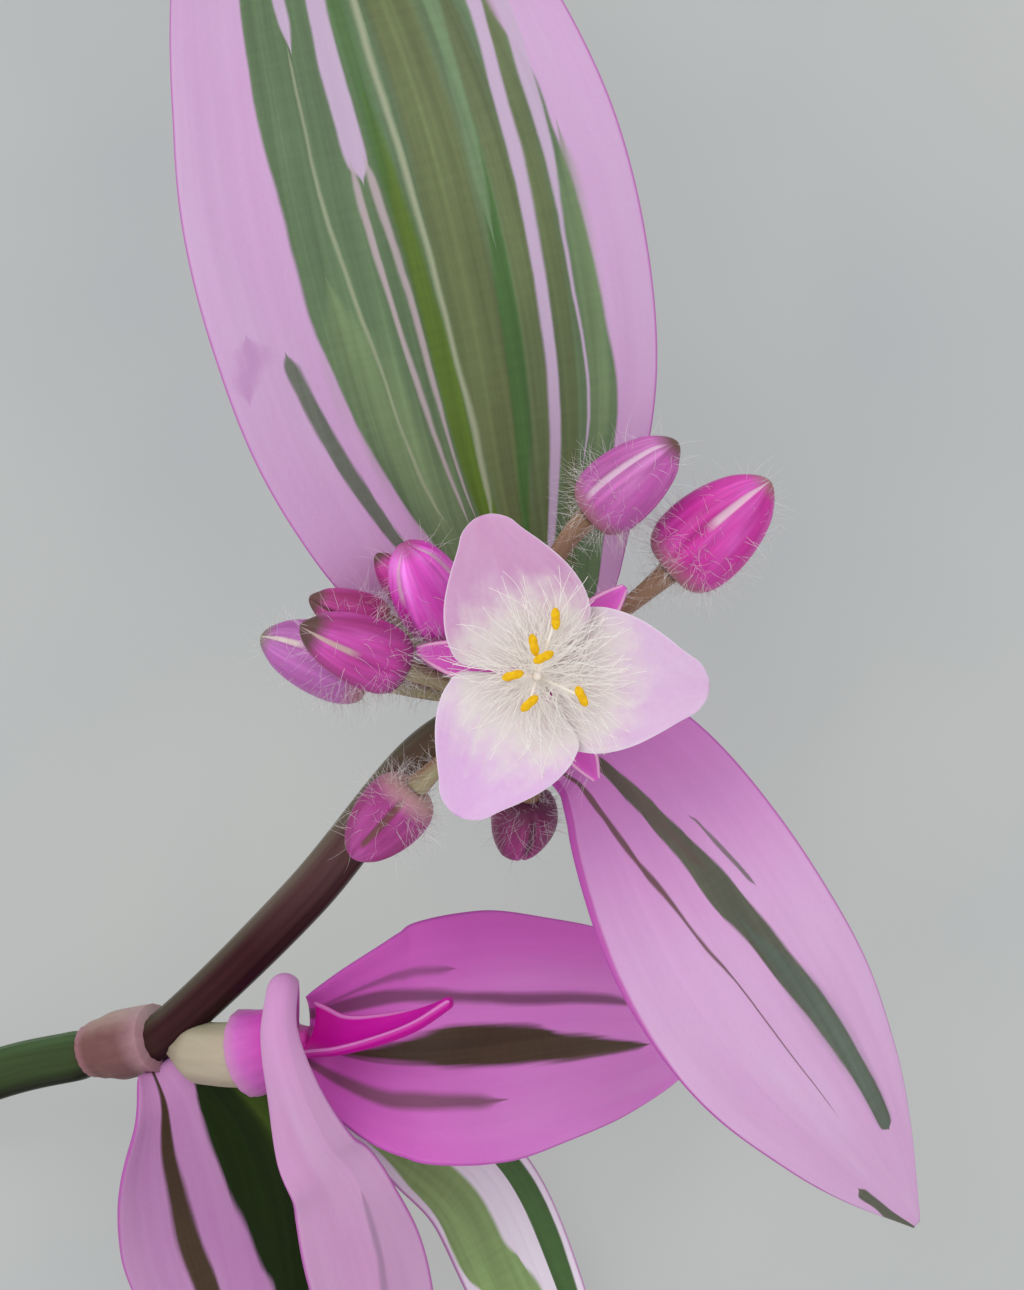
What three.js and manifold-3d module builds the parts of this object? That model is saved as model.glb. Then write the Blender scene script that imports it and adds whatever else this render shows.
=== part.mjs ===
// A flowering cutting of pink inch plant that lies on a flat surface. Millimetres, +Z up, the
// surface at z = 0. The stem lies on its cut end and rises to a node with a leaf and a short side
// shoot. From there it goes on to the flower head: an open flower and closed buds between two bract
// leaves. The long leaves arch over and rest on their tips.
import * as THREE from "three";
import { mergeVertices } from "three/addons/utils/BufferGeometryUtils.js";
import Module from "manifold-3d";

const wasm = await Module();
wasm.setup();

// ---- Driving dimensions ------------------------------------------------------------------------

const GAP = 0.25; // clear space between pieces that touch on the plant
const LEAF_THICK = 0.8; // fleshy leaf blade
const PETAL_THICK = 0.6;
const EDGE_SHARE = 0.55; // share of a blade's thickness that is left at its margin

// The main stem from the cut end to the flower head: centre line and radius at each point.
const STEM = [
  { at: [-60.5, -37.5, 1.6], radius: 1.65 },
  { at: [-51.0, -34.7, 1.6], radius: 1.65 },
  { at: [-42.5, -31.7, 3.0], radius: 1.65 },
  { at: [-33.8, -28.3, 5.8], radius: 1.65 },
  { at: [-28.6, -26.9, 8.4], radius: 1.62 },
  { at: [-27.3, -26.5, 9.1], radius: 1.45 },
  { at: [-26.2, -26.1, 9.8], radius: 1.25 },
  { at: [-22.7, -25.2, 12.0], radius: 1.4 },
  { at: [-13.1, -15.9, 18.0], radius: 1.5 },
  { at: [-5.8, -7.0, 23.6], radius: 1.38 },
  { at: [-0.2, -3.5, 26.2], radius: 1.3 },
];
const STEM_RINGS = 46;
const STEM_SIDES = 12;

// The side shoot, out of the mouth of the node's sheath and up to its youngest leaf.
const SHOOT = [
  { at: [-22.2, -25.7, 11.9], radius: 0.7 },
  { at: [-19.8, -26.1, 13.4], radius: 2.0 },
  { at: [-17.0, -26.0, 14.9], radius: 2.1 },
  { at: [-14.6, -25.2, 16.2], radius: 1.5 },
  { at: [-12.6, -24.8, 17.2], radius: 0.8 },
];
const SHOOT_RINGS = 14;
const SHOOT_SIDES = 10;

// A leaf's closed sheath: a tube round its stem between two places, which flares towards its mouth.
const SHEATH_WALL = 0.5;
const SHEATHS = {
  leaf_node: { on: STEM, from: [-26.9, -26.4, 9.4], to: [-22.9, -25.3, 11.9], flare: 0.1 },
  leaf_shoot_front: { on: SHOOT, from: [-16.7, -26.0, 15.0], to: [-14.2, -25.1, 16.4], flare: 0.1 },
};

// The leaves. spine: centre line from root to tip. widths: half the blade's width at even steps from
// root to tip. face: where the upper side looks. curl: half the angle in radians that the section
// bends through, edges up. Both at even steps too.
const LEAVES = {
  leaf_bract_upper: {
    spine: [[1.0, -1.6, 24.3], [-0.3, 2.4, 24.7], [-2.5, 9.5, 26.4], [-5.0, 21.0, 28.6], [-7.9, 32.5, 27.6],
      [-10.8, 42.0, 23.6], [-13.2, 51.0, 14.6], [-14.8, 57.0, 5.8], [-15.9, 61.8, 0.35]],
    widths: [4.6, 9.3, 12.3, 13.5, 13.5, 12.2, 10.3, 8.4, 6.2, 3.4, 0.3],
    face: [[0.1, 0, 1], [0, 0, 1], [0, 0.2, 1]],
    curl: [0.5, 0.32, 0.2, 0.14, 0.12],
    ripple: 0.4, waves: 2.5, lengthCells: 26, widthCells: 10,
  },
  leaf_bract_lower: {
    spine: [[1.5, -4.3, 25.0], [4.2, -5.6, 26.4], [7.2, -8.3, 27.0], [13.1, -18.6, 26.4], [20.2, -28.8, 21.0],
      [25.9, -37.1, 13.6]],
    widths: [2.4, 5.3, 6.7, 7.2, 6.8, 5.2, 3.0, 0.3],
    face: [[0.2, 0.2, 1], [0.15, 0.1, 1], [0.25, 0.1, 1]],
    curl: [1.0, 0.35, 0.15, 0.1],
    ripple: 0.25, waves: 1.5, lengthCells: 18, widthCells: 8,
  },
  leaf_node: {
    spine: [[-22.7, -26.9, 11.8], [-20.8, -29.4, 12.3], [-19.3, -34.4, 11.0], [-17.9, -42.3, 7.2],
      [-16.3, -51.0, 3.2], [-15.3, -58.0, 1.0], [-14.7, -62.8, 0.35]],
    widths: [2.0, 6.4, 7.3, 6.6, 5.4, 4.1, 2.4, 0.3],
    face: [[0.3, -0.2, 1], [0.15, 0, 1], [0, 0, 1]],
    curl: [1.1, 0.35, 0.25, 0.2],
    ripple: 0.3, waves: 2, lengthCells: 18, widthCells: 8,
  },
  leaf_shoot_right: {
    spine: [[-12.9, -25.0, 15.2], [-10.0, -25.2, 15.9], [-7.0, -25.3, 15.9], [-3.3, -25.1, 15.1],
      [4.6, -24.7, 10.6], [10.3, -25.0, 5.0], [14.8, -25.4, 0.35]],
    widths: [3.3, 7.6, 8.2, 7.2, 5.8, 3.8, 0.3],
    face: [[0.1, 0.1, 1], [0, 0.1, 1], [0.2, 0, 1]],
    curl: [1.2, 0.4, 0.2, 0.15],
    ripple: 0.25, waves: 1.5, lengthCells: 18, widthCells: 8,
  },
  leaf_shoot_front: {
    spine: [[-14.2, -24.0, 17.4], [-14.2, -21.2, 20.2], [-14.2, -20.9, 22.6], [-14.4, -23.6, 23.5],
      [-13.6, -27.2, 22.7], [-12.2, -31.4, 20.3], [-10.5, -34.8, 17.5], [-8.9, -41.9, 11.6],
      [-8.0, -50.0, 5.2], [-7.6, -56.2, 1.3], [-7.3, -60.6, 0.35]],
    widths: [0.8, 1.1, 1.75, 3.0, 3.9, 3.8, 3.3, 2.3, 0.3],
    face: [[0, 1, 0.1], [-0.3, 0.5, 1], [0, 0, 1], [0, 0, 1], [0, 0, 1]],
    curl: [-0.3, -1.2, -0.4, 0.3, 0.35, 0.3, 0.3, 0.25, 0.2],
    ripple: 0.2, waves: 2, lengthCells: 24, widthCells: 6,
  },
  leaf_shoot_young: {
    spine: [[-12.6, -24.7, 17.9], [-10.6, -24.8, 19.0], [-8.3, -24.3, 20.2], [-5.9, -23.4, 21.3],
      [-3.7, -21.9, 22.4]],
    widths: [2.4, 1.7, 1.35, 1.0, 0.35],
    face: [[0, 0.6, 1], [0, 0.9, 0.8], [-0.3, 1, 0.2]],
    curl: [1.1, 1.3, 1.2, 0.5],
    lengthCells: 12, widthCells: 8,
  },
  leaf_shoot_back: {
    spine: [[-14.2, -26.7, 13.4], [-12.2, -28.4, 11.1], [-9.2, -30.4, 9.0], [-5.6, -32.8, 7.4],
      [-2.1, -36.2, 6.0], [0.9, -42.7, 4.2], [4.0, -50.0, 2.0], [6.6, -57.0, 0.35]],
    widths: [1.4, 2.6, 3.6, 4.0, 3.9, 3.2, 1.9, 0.3],
    face: [[0.2, 0.1, 1], [0.2, 0.1, 1], [0.1, 0, 1]],
    curl: [1.1, 0.5, 0.25, 0.15],
    ripple: 0.2, waves: 2, lengthCells: 18, widthCells: 6,
  },
};

// The flower head: where the stalks part, and the open flower's centre, on top of its own stalk.
const HEAD = [0.8, -2.7, 28.2];
const HEAD_RADIUS = 1.75;
const FLOWER = [1.45, -1.8, 34.2];
const STALK = { radius: 0.5, endRadius: 0.75, rings: 7, sides: 8 };

// Buds: base and tip of the closed calyx, its widest radius, and how its stalk bows from the head.
const BUDS = {
  bud_left_low: { base: [-8.4, -1.9, 28.4], tip: [-15.1, 0.5, 28.1], radius: 2.25, bow: [0, -0.9, -0.6] },
  bud_left_mid: { base: [-6.4, -1.3, 32.3], tip: [-12.3, 1.1, 35.2], radius: 2.05, bow: [0, -1.2, -1.4] },
  bud_left_high: { base: [-7.6, 1.2, 29.9], tip: [-12.0, 2.8, 31.2], radius: 1.35, bow: [0, 0, 0.2] },
  bud_upper_near: { base: [-3.8, 1.0, 30.2], tip: [-6.3, 5.9, 34.6], radius: 2.2, bow: [0.3, 0.6, -0.4] },
  bud_upper_far: { base: [-5.5, 2.6, 28.0], tip: [-8.1, 5.4, 29.4], radius: 1.1, bow: [0, 0.8, -0.9] },
  bud_right_near: { base: [4.6, 7.6, 31.8], tip: [9.7, 11.9, 33.6], radius: 2.15, bow: [-0.8, 0.6, 0] },
  bud_right_far: { base: [9.4, 4.4, 29.8], tip: [15.3, 9.7, 31.4], radius: 2.7, bow: [0, 0.4, 0] },
  bud_lower_left: { base: [-5.8, -8.6, 28.4], tip: [-9.7, -12.8, 26.6], radius: 2.1, bow: [0.2, -0.3, 0.8] },
  bud_lower_back: { base: [1.0, -9.3, 22.6], tip: [0.2, -13.2, 18.6], radius: 1.95, bow: [0.2, -1.2, 0] },
};
const BUD_RINGS = 11;
const BUD_SIDES = 15; // five to a sepal, so that each seam is a row of points
const BUD_SHAPE = { widest: 0.42, rise: 0.65, fall: 0.9, seamDepth: 0.13, keelHeight: 0.05, tipRadius: 0.22 };

// Petals and sepals of the open flower. start: how far from the centre the blade begins.
const PETAL_SHAPE = {
  widths: [2.0, 3.9, 4.3, 4.2, 3.8, 3.1, 2.2, 0.8],
  curl: [0.2, 0.3, 0.3],
  ripple: 0.15, waves: 1.5, lengthCells: 12, widthCells: 8,
};
const PETALS = {
  petal_upper: { points: 109, length: 9.8, foot: 1.95, rise: 1.5 },
  petal_right: { points: -4, length: 10.0, foot: 0.4, rise: 2.2 },
  petal_lower: { points: 240, length: 9.3, foot: 1.2, rise: 1.9 },
};
const PETAL_START = 1.05;
const SEPAL_SHAPE = {
  widths: [0.8, 1.35, 1.5, 1.3, 0.85, 0.25],
  curl: [1.1, 1.1, 1.1, 0.7],
  lengthCells: 9, widthCells: 6,
};
const SEPALS = {
  sepal_right: { points: 45, length: 7.4, foot: -0.9, rise: -0.7 },
  sepal_lower: { points: -60, length: 7.1, foot: -0.9, rise: -0.7 },
  sepal_left: { points: 168, length: 7.3, foot: -0.9, rise: -0.5 },
};
const SEPAL_START = 1.2;

// Anthers: place from the flower's centre, height, and the way the long side points, in degrees.
const ANTHER = { length: 1.3, width: 0.6, thick: 0.5 };
const ANTHERS = [
  { at: [1.05, 3.3], height: 4.4, points: 92 },
  { at: [-0.2, 1.8], height: 4.6, points: 102 },
  { at: [0.35, 1.1], height: 5.1, points: 26 },
  { at: [-1.4, 0.05], height: 4.4, points: 15 },
  { at: [-0.45, -1.55], height: 4.1, points: 42 },
  { at: [2.55, -1.15], height: 3.8, points: -64 },
];
const FILAMENT = { radius: 0.25, toAnther: 0.35 };
const OVARY = { radius: 0.7, height: 2.0 };

// Colour and roughness of each kind of piece.
const FINISHES = {
  leaf: ["#c98bc9", 0.45],
  leafGreen: ["#5f7d5b", 0.45],
  youngLeaf: ["#b5188f", 0.4],
  stem: ["#4a3a34", 0.35],
  stalk: ["#8a6a58", 0.6],
  calyx: ["#c02aa8", 0.5],
  petal: ["#e3bfe6", 0.5],
  flowerCentre: ["#f3efe8", 0.6],
  anther: ["#f2bf17", 0.6],
};

// Where the origin stands in these coordinates: the middle of the cutting's space, on the surface.
const ORIGIN = [-17.37, -0.38, 0];

// ---- Small tools -------------------------------------------------------------------------------

const vec = (point) => new THREE.Vector3(...point);
const upBy = (height) => new THREE.Vector3(0, 0, height);
const curveThrough = (points) => new THREE.CatmullRomCurve3(points.map(vec), false, "catmullrom", 0.5);

/** Smooth value at share t along numbers that stand at even steps. */
function along(values, t) {
  const place = t * (values.length - 1);
  const i = Math.min(Math.floor(place), values.length - 2);
  const f = place - i;
  const [b, c] = [values[i], values[i + 1]];
  const a = values[i - 1] ?? 2 * b - c;
  const d = values[i + 2] ?? 2 * c - b;
  return b + 0.5 * f * (c - a + f * (2 * a - 5 * b + 4 * c - d + f * (3 * (b - c) + d - a)));
}

function directionAlong(directions, t) {
  return vec([0, 1, 2].map((axis) => along(directions.map((way) => way[axis]), t))).normalize();
}

/** A value that grows from 0 at the root to 1 at the widest place and falls to 0 at the tip. */
function swell(t, { widest, rise, fall }) {
  return (t / widest) ** (rise * widest) * ((1 - t) / (1 - widest)) ** (fall * (1 - widest));
}

function geometryOf(positions, triangles) {
  const geometry = new THREE.BufferGeometry();
  geometry.setAttribute("position", new THREE.Float32BufferAttribute(positions, 3));
  geometry.setIndex(triangles);
  return geometry;
}

function solidOf(geometry) {
  const merged = mergeVertices(geometry, 1e-4);
  return new wasm.Manifold(new wasm.Mesh({
    numProp: 3,
    vertProperties: merged.attributes.position.array,
    triVerts: new Uint32Array(merged.index.array),
  }));
}

/** The largest body of a solid, as a geometry. A cut can leave a loose scrap beside it. */
function geometryOfLargest(solid) {
  const bodies = solid.decompose();
  bodies.sort((a, b) => b.volume() - a.volume());
  const mesh = bodies[0].getMesh();
  return geometryOf(Array.from(mesh.vertProperties), Array.from(mesh.triVerts));
}

// ---- Round pieces: stems, stalks, buds, anthers ------------------------------------------------

/**
 * A closed body of rings round a curve, between two shares of its length. radiusAt(share, angle)
 * gives the radius, up says where angle zero lies, and the end ring stands `overrun` past the curve.
 * Nothing goes below the surface.
 */
function ringedBody(curve, radiusAt, { rings, sides, up = [0, 0, 1], from = 0, to = 1, overrun = 0 }) {
  const positions = [];
  const triangles = [];
  const place = (point) => positions.push(point.x, point.y, Math.max(point.z, 0));
  const ringCentre = (i) => {
    const t = THREE.MathUtils.lerp(from, to, i / rings);
    return curve.getPointAt(t).addScaledVector(curve.getTangentAt(t), i === rings ? overrun : 0);
  };
  for (let i = 0; i <= rings; i++) {
    const centre = ringCentre(i);
    const tangent = curve.getTangentAt(THREE.MathUtils.lerp(from, to, i / rings));
    const side = new THREE.Vector3().crossVectors(tangent, vec(up)).normalize();
    const top = new THREE.Vector3().crossVectors(side, tangent);
    for (let k = 0; k < sides; k++) {
      const angle = (2 * Math.PI * k) / sides;
      const radius = radiusAt(i / rings, angle);
      place(centre.clone()
        .addScaledVector(top, radius * Math.cos(angle))
        .addScaledVector(side, radius * Math.sin(angle)));
    }
  }
  place(ringCentre(0));
  place(ringCentre(rings));
  const at = (i, k) => i * sides + (k % sides);
  const [startCentre, endCentre] = [(rings + 1) * sides, (rings + 1) * sides + 1];
  for (let k = 0; k < sides; k++) {
    for (let i = 0; i < rings; i++) {
      triangles.push(at(i, k), at(i, k + 1), at(i + 1, k + 1));
      triangles.push(at(i, k), at(i + 1, k + 1), at(i + 1, k));
    }
    triangles.push(startCentre, at(0, k + 1), at(0, k));
    triangles.push(endCentre, at(rings, k), at(rings, k + 1));
  }
  return geometryOf(positions, triangles);
}

/** Share of a curve's length at which it passes nearest to a point. */
function shareOf(curve, point) {
  const samples = 400;
  const shares = Array.from({ length: samples + 1 }, (_, i) => i / samples);
  const distances = shares.map((share) => curve.getPointAt(share).distanceTo(vec(point)));
  return shares[distances.indexOf(Math.min(...distances))];
}

/** A stem with a centre line and radius given point by point, `extra` thicker all round. */
function stemBody(points, { rings, sides, extra = 0, flare = 0, from, to }) {
  const curve = curveThrough(points.map((point) => point.at));
  const shares = points.map((point) => shareOf(curve, point.at));
  const start = from ? shareOf(curve, from) : 0;
  const end = to ? shareOf(curve, to) : 1;
  const radiusAt = (share) => {
    const t = THREE.MathUtils.lerp(start, end, share);
    const next = Math.max(1, shares.findIndex((other) => other >= t - 1e-9));
    const local = (t - shares[next - 1]) / (shares[next] - shares[next - 1]);
    const eased = THREE.MathUtils.smoothstep(local, 0, 1);
    return THREE.MathUtils.lerp(points[next - 1].radius, points[next].radius, eased) + extra + flare * share;
  };
  return ringedBody(curve, radiusAt, { rings, sides, from: start, to: end, overrun: to ? 0 : extra });
}

/** Main stem and side shoot, grown together as one, `extra` thicker all round. */
function stemSolid(extra) {
  const main = stemBody(STEM, { rings: STEM_RINGS, sides: STEM_SIDES, extra });
  const shoot = stemBody(SHOOT, { rings: SHOOT_RINGS, sides: SHOOT_SIDES, extra });
  return solidOf(main).add(solidOf(shoot));
}

function knobSolid(extra) {
  const radius = HEAD_RADIUS + extra;
  const axis = new THREE.LineCurve3(vec(HEAD).sub(upBy(radius)), vec(HEAD).add(upBy(radius)));
  const radiusAt = (share) => Math.max(radius * Math.sin(Math.PI * share), 0.2);
  return solidOf(ringedBody(axis, radiusAt, { rings: 6, sides: STALK.sides, up: [0, 1, 0] }));
}

/** A stalk from the middle of the head, which meets a bud or flower square to its axis. */
function stalkSolid({ end, inward, bow }, extra) {
  const stop = end.clone().addScaledVector(inward, GAP);
  const reach = vec(HEAD).distanceTo(stop) / 3;
  const first = vec(HEAD).lerp(stop, 1 / 3).add(vec(bow));
  const second = stop.clone().addScaledVector(inward, reach);
  const curve = new THREE.CubicBezierCurve3(vec(HEAD), first, second, stop);
  const radiusAt = (share) => THREE.MathUtils.lerp(STALK.radius, STALK.endRadius, share ** 6) + extra;
  return solidOf(ringedBody(curve, radiusAt, { ...STALK, up: [0.3, 0.9, 0.3] }));
}

/** The knob at the stem's end, with a stalk to each bud and one to the open flower. */
function stalksSolid(extra) {
  const ends = Object.values(BUDS).map(({ base, tip, bow }) => ({
    end: vec(base), inward: vec(base).sub(vec(tip)).normalize(), bow,
  }));
  ends.push({ end: vec(FLOWER), inward: upBy(-1), bow: [0, 0, 0] });
  return ends.reduce((solid, end) => solid.add(stalkSolid(end, extra)), knobSolid(extra));
}

/** A closed bud: three sepals that bulge between their seams and draw in to a pointed tip. */
function budBody({ base, tip, radius }) {
  const axis = new THREE.LineCurve3(vec(base), vec(tip));
  const radiusAt = (share, angle) => {
    const onSeam = Math.abs(Math.cos(1.5 * angle)); // 1 on a seam, 0 on a sepal's keel
    const relief = 1 - BUD_SHAPE.seamDepth * onSeam ** 6 + BUD_SHAPE.keelHeight * (1 - onSeam) ** 3;
    const core = THREE.MathUtils.lerp(STALK.endRadius, BUD_SHAPE.tipRadius, share);
    return Math.hypot(radius * swell(share, BUD_SHAPE) * relief, core);
  };
  return ringedBody(axis, radiusAt, { rings: BUD_RINGS, sides: BUD_SIDES });
}

// ---- Blades: leaves, petals, sepals ------------------------------------------------------------

/** The middle surface of a blade, as a function of u from root to tip and v from -1 to 1 across. */
function bladeMiddle({ spine, widths, face, curl, ripple = 0, waves = 1 }) {
  const curve = curveThrough(spine);
  return (u, v) => {
    const tangent = curve.getTangentAt(u);
    const side = new THREE.Vector3().crossVectors(tangent, directionAlong(face, u)).normalize();
    const up = new THREE.Vector3().crossVectors(side, tangent);
    const bend = along(curl, u);
    const radius = along(widths, u) / bend;
    const wave = Math.sin(2 * Math.PI * waves * u + Math.sign(v)) * Math.sin(Math.PI * u) * Math.abs(v) ** 3;
    return curve.getPointAt(u)
      .addScaledVector(side, radius * Math.sin(bend * v))
      .addScaledVector(up, radius * (1 - Math.cos(bend * v)) + ripple * wave);
  };
}

/** A closed blade over a grid of cells. Both faces are split alike, so they never cross. */
function bladeBody({ lengthCells: rows, widthCells: columns, thick, ...shape }) {
  const middle = bladeMiddle(shape);
  const step = 1e-3;
  const positions = [];
  for (const way of [1, -1]) {
    for (let i = 0; i <= rows; i++) {
      for (let j = 0; j <= columns; j++) {
        const [u, v] = [i / rows, (2 * j) / columns - 1];
        const lengthwise = middle(Math.min(u + step, 1), v).sub(middle(Math.max(u - step, 0), v));
        const across = middle(u, Math.min(v + step, 1)).sub(middle(u, Math.max(v - step, -1)));
        const normal = across.cross(lengthwise).normalize();
        const half = (thick / 2) * (1 - (1 - EDGE_SHARE) * v * v);
        const point = middle(u, v).addScaledVector(normal, way * half);
        positions.push(point.x, point.y, Math.max(point.z, half + way * half));
      }
    }
  }
  const at = (face, i, j) => (face * (rows + 1) + i) * (columns + 1) + j;
  const triangles = [];
  const quad = (a, b, c, d) => triangles.push(a, b, c, a, c, d);
  for (let i = 0; i < rows; i++) {
    for (let j = 0; j < columns; j++) {
      quad(at(0, i, j), at(0, i, j + 1), at(0, i + 1, j + 1), at(0, i + 1, j));
      triangles.push(at(1, i, j), at(1, i + 1, j + 1), at(1, i, j + 1));
      triangles.push(at(1, i, j), at(1, i + 1, j), at(1, i + 1, j + 1));
    }
    quad(at(0, i, 0), at(0, i + 1, 0), at(1, i + 1, 0), at(1, i, 0));
    quad(at(0, i + 1, columns), at(0, i, columns), at(1, i, columns), at(1, i + 1, columns));
  }
  for (let j = 0; j < columns; j++) {
    quad(at(0, 0, j + 1), at(0, 0, j), at(1, 0, j), at(1, 0, j + 1));
    quad(at(0, rows, j), at(0, rows, j + 1), at(1, rows, j + 1), at(1, rows, j));
  }
  return geometryOf(positions, triangles);
}

/** A petal or sepal: a blade that springs outwards from the flower's centre. */
function flowerBlade({ points, length, foot, rise }, start, shape) {
  const angle = THREE.MathUtils.degToRad(points);
  const at = (distance, height) => [
    FLOWER[0] + distance * Math.cos(angle),
    FLOWER[1] + distance * Math.sin(angle),
    FLOWER[2] + foot + height,
  ];
  const middle = [at(0.4 * length, 0.62 * rise), at(0.75 * length, 0.95 * rise)];
  const spine = [at(start, 0), ...middle, at(length, rise)];
  return bladeBody({ spine, face: [[0, 0, 1], [0, 0, 1]], thick: PETAL_THICK, ...shape });
}

/** A bean-shaped anther that lies level on the end of its filament. */
function antherBody(place, points) {
  const angle = THREE.MathUtils.degToRad(points);
  const half = new THREE.Vector3(Math.cos(angle), Math.sin(angle), 0).multiplyScalar(ANTHER.length / 2);
  const axis = new THREE.LineCurve3(place.clone().sub(half), place.clone().add(half));
  const radiusAt = (share, turn) => {
    const round = Math.sqrt(Math.max(1 - (2 * share - 1) ** 2, 0.12));
    const waist = 1 - 0.18 * Math.exp(-(((share - 0.5) / 0.18) ** 2));
    return 0.5 * round * waist * Math.hypot(ANTHER.thick * Math.cos(turn), ANTHER.width * Math.sin(turn));
  };
  return ringedBody(axis, radiusAt, { rings: 8, sides: 8 });
}

// ---- The plant ---------------------------------------------------------------------------------

const plant = new THREE.Group();

function addPiece(name, geometry, [color, roughness]) {
  const mesh = new THREE.Mesh(geometry, new THREE.MeshStandardMaterial({ color, roughness, metalness: 0 }));
  mesh.name = name;
  plant.add(mesh);
}

function addLeaves(keepClear) {
  const finishOf = { leaf_bract_upper: FINISHES.leafGreen, leaf_shoot_young: FINISHES.youngLeaf };
  for (const [name, leaf] of Object.entries(LEAVES)) {
    let solid = solidOf(bladeBody({ thick: LEAF_THICK, ...leaf }));
    const sheath = SHEATHS[name];
    if (sheath) {
      const tube = stemBody(sheath.on, { ...sheath, rings: 5, sides: STEM_SIDES, extra: GAP + SHEATH_WALL });
      solid = solid.add(solidOf(tube));
    }
    addPiece(name, geometryOfLargest(solid.subtract(keepClear)), finishOf[name] ?? FINISHES.leaf);
  }
}

function addFlower() {
  for (const [name, petal] of Object.entries(PETALS)) {
    addPiece(name, flowerBlade(petal, PETAL_START, PETAL_SHAPE), FINISHES.petal);
  }
  for (const [name, sepal] of Object.entries(SEPALS)) {
    addPiece(name, flowerBlade(sepal, SEPAL_START, SEPAL_SHAPE), FINISHES.calyx);
  }
}

/** Ovary and filaments as one white piece, and each yellow anther on top of its filament. */
function addStamens() {
  const foot = vec(FLOWER);
  const dome = (share) => OVARY.radius * Math.sqrt(1 - 0.98 * share ** 2);
  const ovaryAxis = new THREE.LineCurve3(foot, foot.clone().add(upBy(OVARY.height)));
  let centre = solidOf(ringedBody(ovaryAxis, dome, { rings: 5, sides: 9, up: [0, 1, 0] }));
  ANTHERS.forEach(({ at, height, points }, i) => {
    const place = foot.clone().add(vec([...at, height]));
    addPiece(`anther_${i + 1}`, antherBody(place, points), FINISHES.anther);
    const stop = place.clone().sub(upBy(ANTHER.thick / 2 + FILAMENT.toAnther));
    const root = foot.clone().add(upBy(OVARY.height / 4));
    const bend = root.clone().lerp(stop, 0.15).setZ(stop.z);
    const filament = new THREE.QuadraticBezierCurve3(root, bend, stop);
    const body = ringedBody(filament, () => FILAMENT.radius, { rings: 5, sides: 6, up: [0.2, 1, 0] });
    centre = centre.add(solidOf(body));
  });
  addPiece("flower_centre", geometryOfLargest(centre), FINISHES.flowerCentre);
}

addPiece("stem", geometryOfLargest(stemSolid(0)), FINISHES.stem);
addLeaves(stemSolid(GAP).add(stalksSolid(GAP)));
addPiece("flower_stalks", geometryOfLargest(stalksSolid(0).subtract(stemSolid(GAP))), FINISHES.stalk);
for (const [name, bud] of Object.entries(BUDS)) addPiece(name, budBody(bud), FINISHES.calyx);
addFlower();
addStamens();
plant.position.set(-ORIGIN[0], -ORIGIN[1], -ORIGIN[2]);

export default plant;
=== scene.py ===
"""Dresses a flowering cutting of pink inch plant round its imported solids, for Blender 4.5.

Every class is one sub-assembly of the plant: its leaves, its stem with the side shoot, its cluster
of buds and its open flower. Sizes are in millimetres from the point on the surface under the flower
head, +Z up, and `make_piece` takes them to the row's frame in metres.
"""

from __future__ import annotations

import logging
import math
from dataclasses import dataclass, field
from enum import Enum
from typing import Any, Callable, ClassVar, Mapping, Sequence

import bpy
import numpy as np
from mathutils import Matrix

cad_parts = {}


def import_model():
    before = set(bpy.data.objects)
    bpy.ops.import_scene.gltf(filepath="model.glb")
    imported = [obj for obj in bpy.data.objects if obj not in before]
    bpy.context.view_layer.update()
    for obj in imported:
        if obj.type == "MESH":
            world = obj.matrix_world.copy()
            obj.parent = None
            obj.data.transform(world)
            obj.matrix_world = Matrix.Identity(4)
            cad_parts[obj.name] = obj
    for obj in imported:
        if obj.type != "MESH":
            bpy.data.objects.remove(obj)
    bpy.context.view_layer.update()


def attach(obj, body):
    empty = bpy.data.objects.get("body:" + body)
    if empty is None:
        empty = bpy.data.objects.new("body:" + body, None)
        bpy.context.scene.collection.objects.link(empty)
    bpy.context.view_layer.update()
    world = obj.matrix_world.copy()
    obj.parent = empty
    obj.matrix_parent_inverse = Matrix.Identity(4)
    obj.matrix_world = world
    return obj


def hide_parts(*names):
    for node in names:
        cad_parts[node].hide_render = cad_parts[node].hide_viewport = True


Point = Sequence[float]
Pair = tuple[float, float]
Array = np.ndarray
Tree = bpy.types.NodeTree
Socket = bpy.types.NodeSocket
Sockets = Mapping[Any, Any]

LOG = logging.getLogger("inch_plant")
ORIGIN = np.array([-17.37, -0.38, 0.0])  # where the row's frame stands in these coordinates
METRES = 1e-3  # one millimetre
TINY = 1e-9  # keeps a length from being zero in a division
GAP = 0.25  # clear space between pieces that touch on the plant
BODY = "root"
BLADE_MAP = "blade"  # UV map: x across a blade or round a stem, y along it
HAIRY = "hairy"  # mark of a surface: how thickly hairs stand on it
FLOWER = (1.45, -1.8, 34.2)  # middle of the open flower, where its petals meet


# ---- Small tools ---------------------------------------------------------------------------------


def linear(colour: str) -> tuple[float, float, float, float]:
    """Turns an sRGB hex colour to the linear one that Blender works in.

    Args:
        colour: Such as "#b83aa4".

    Returns:
        Red, green, blue and a full alpha.
    """
    parts = [int(colour[i : i + 2], 16) / 255 for i in (1, 3, 5)]
    red, green, blue = (c / 12.92 if c <= 0.04045 else ((c + 0.055) / 1.055) ** 2.4 for c in parts)
    return red, green, blue, 1.0


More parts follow.
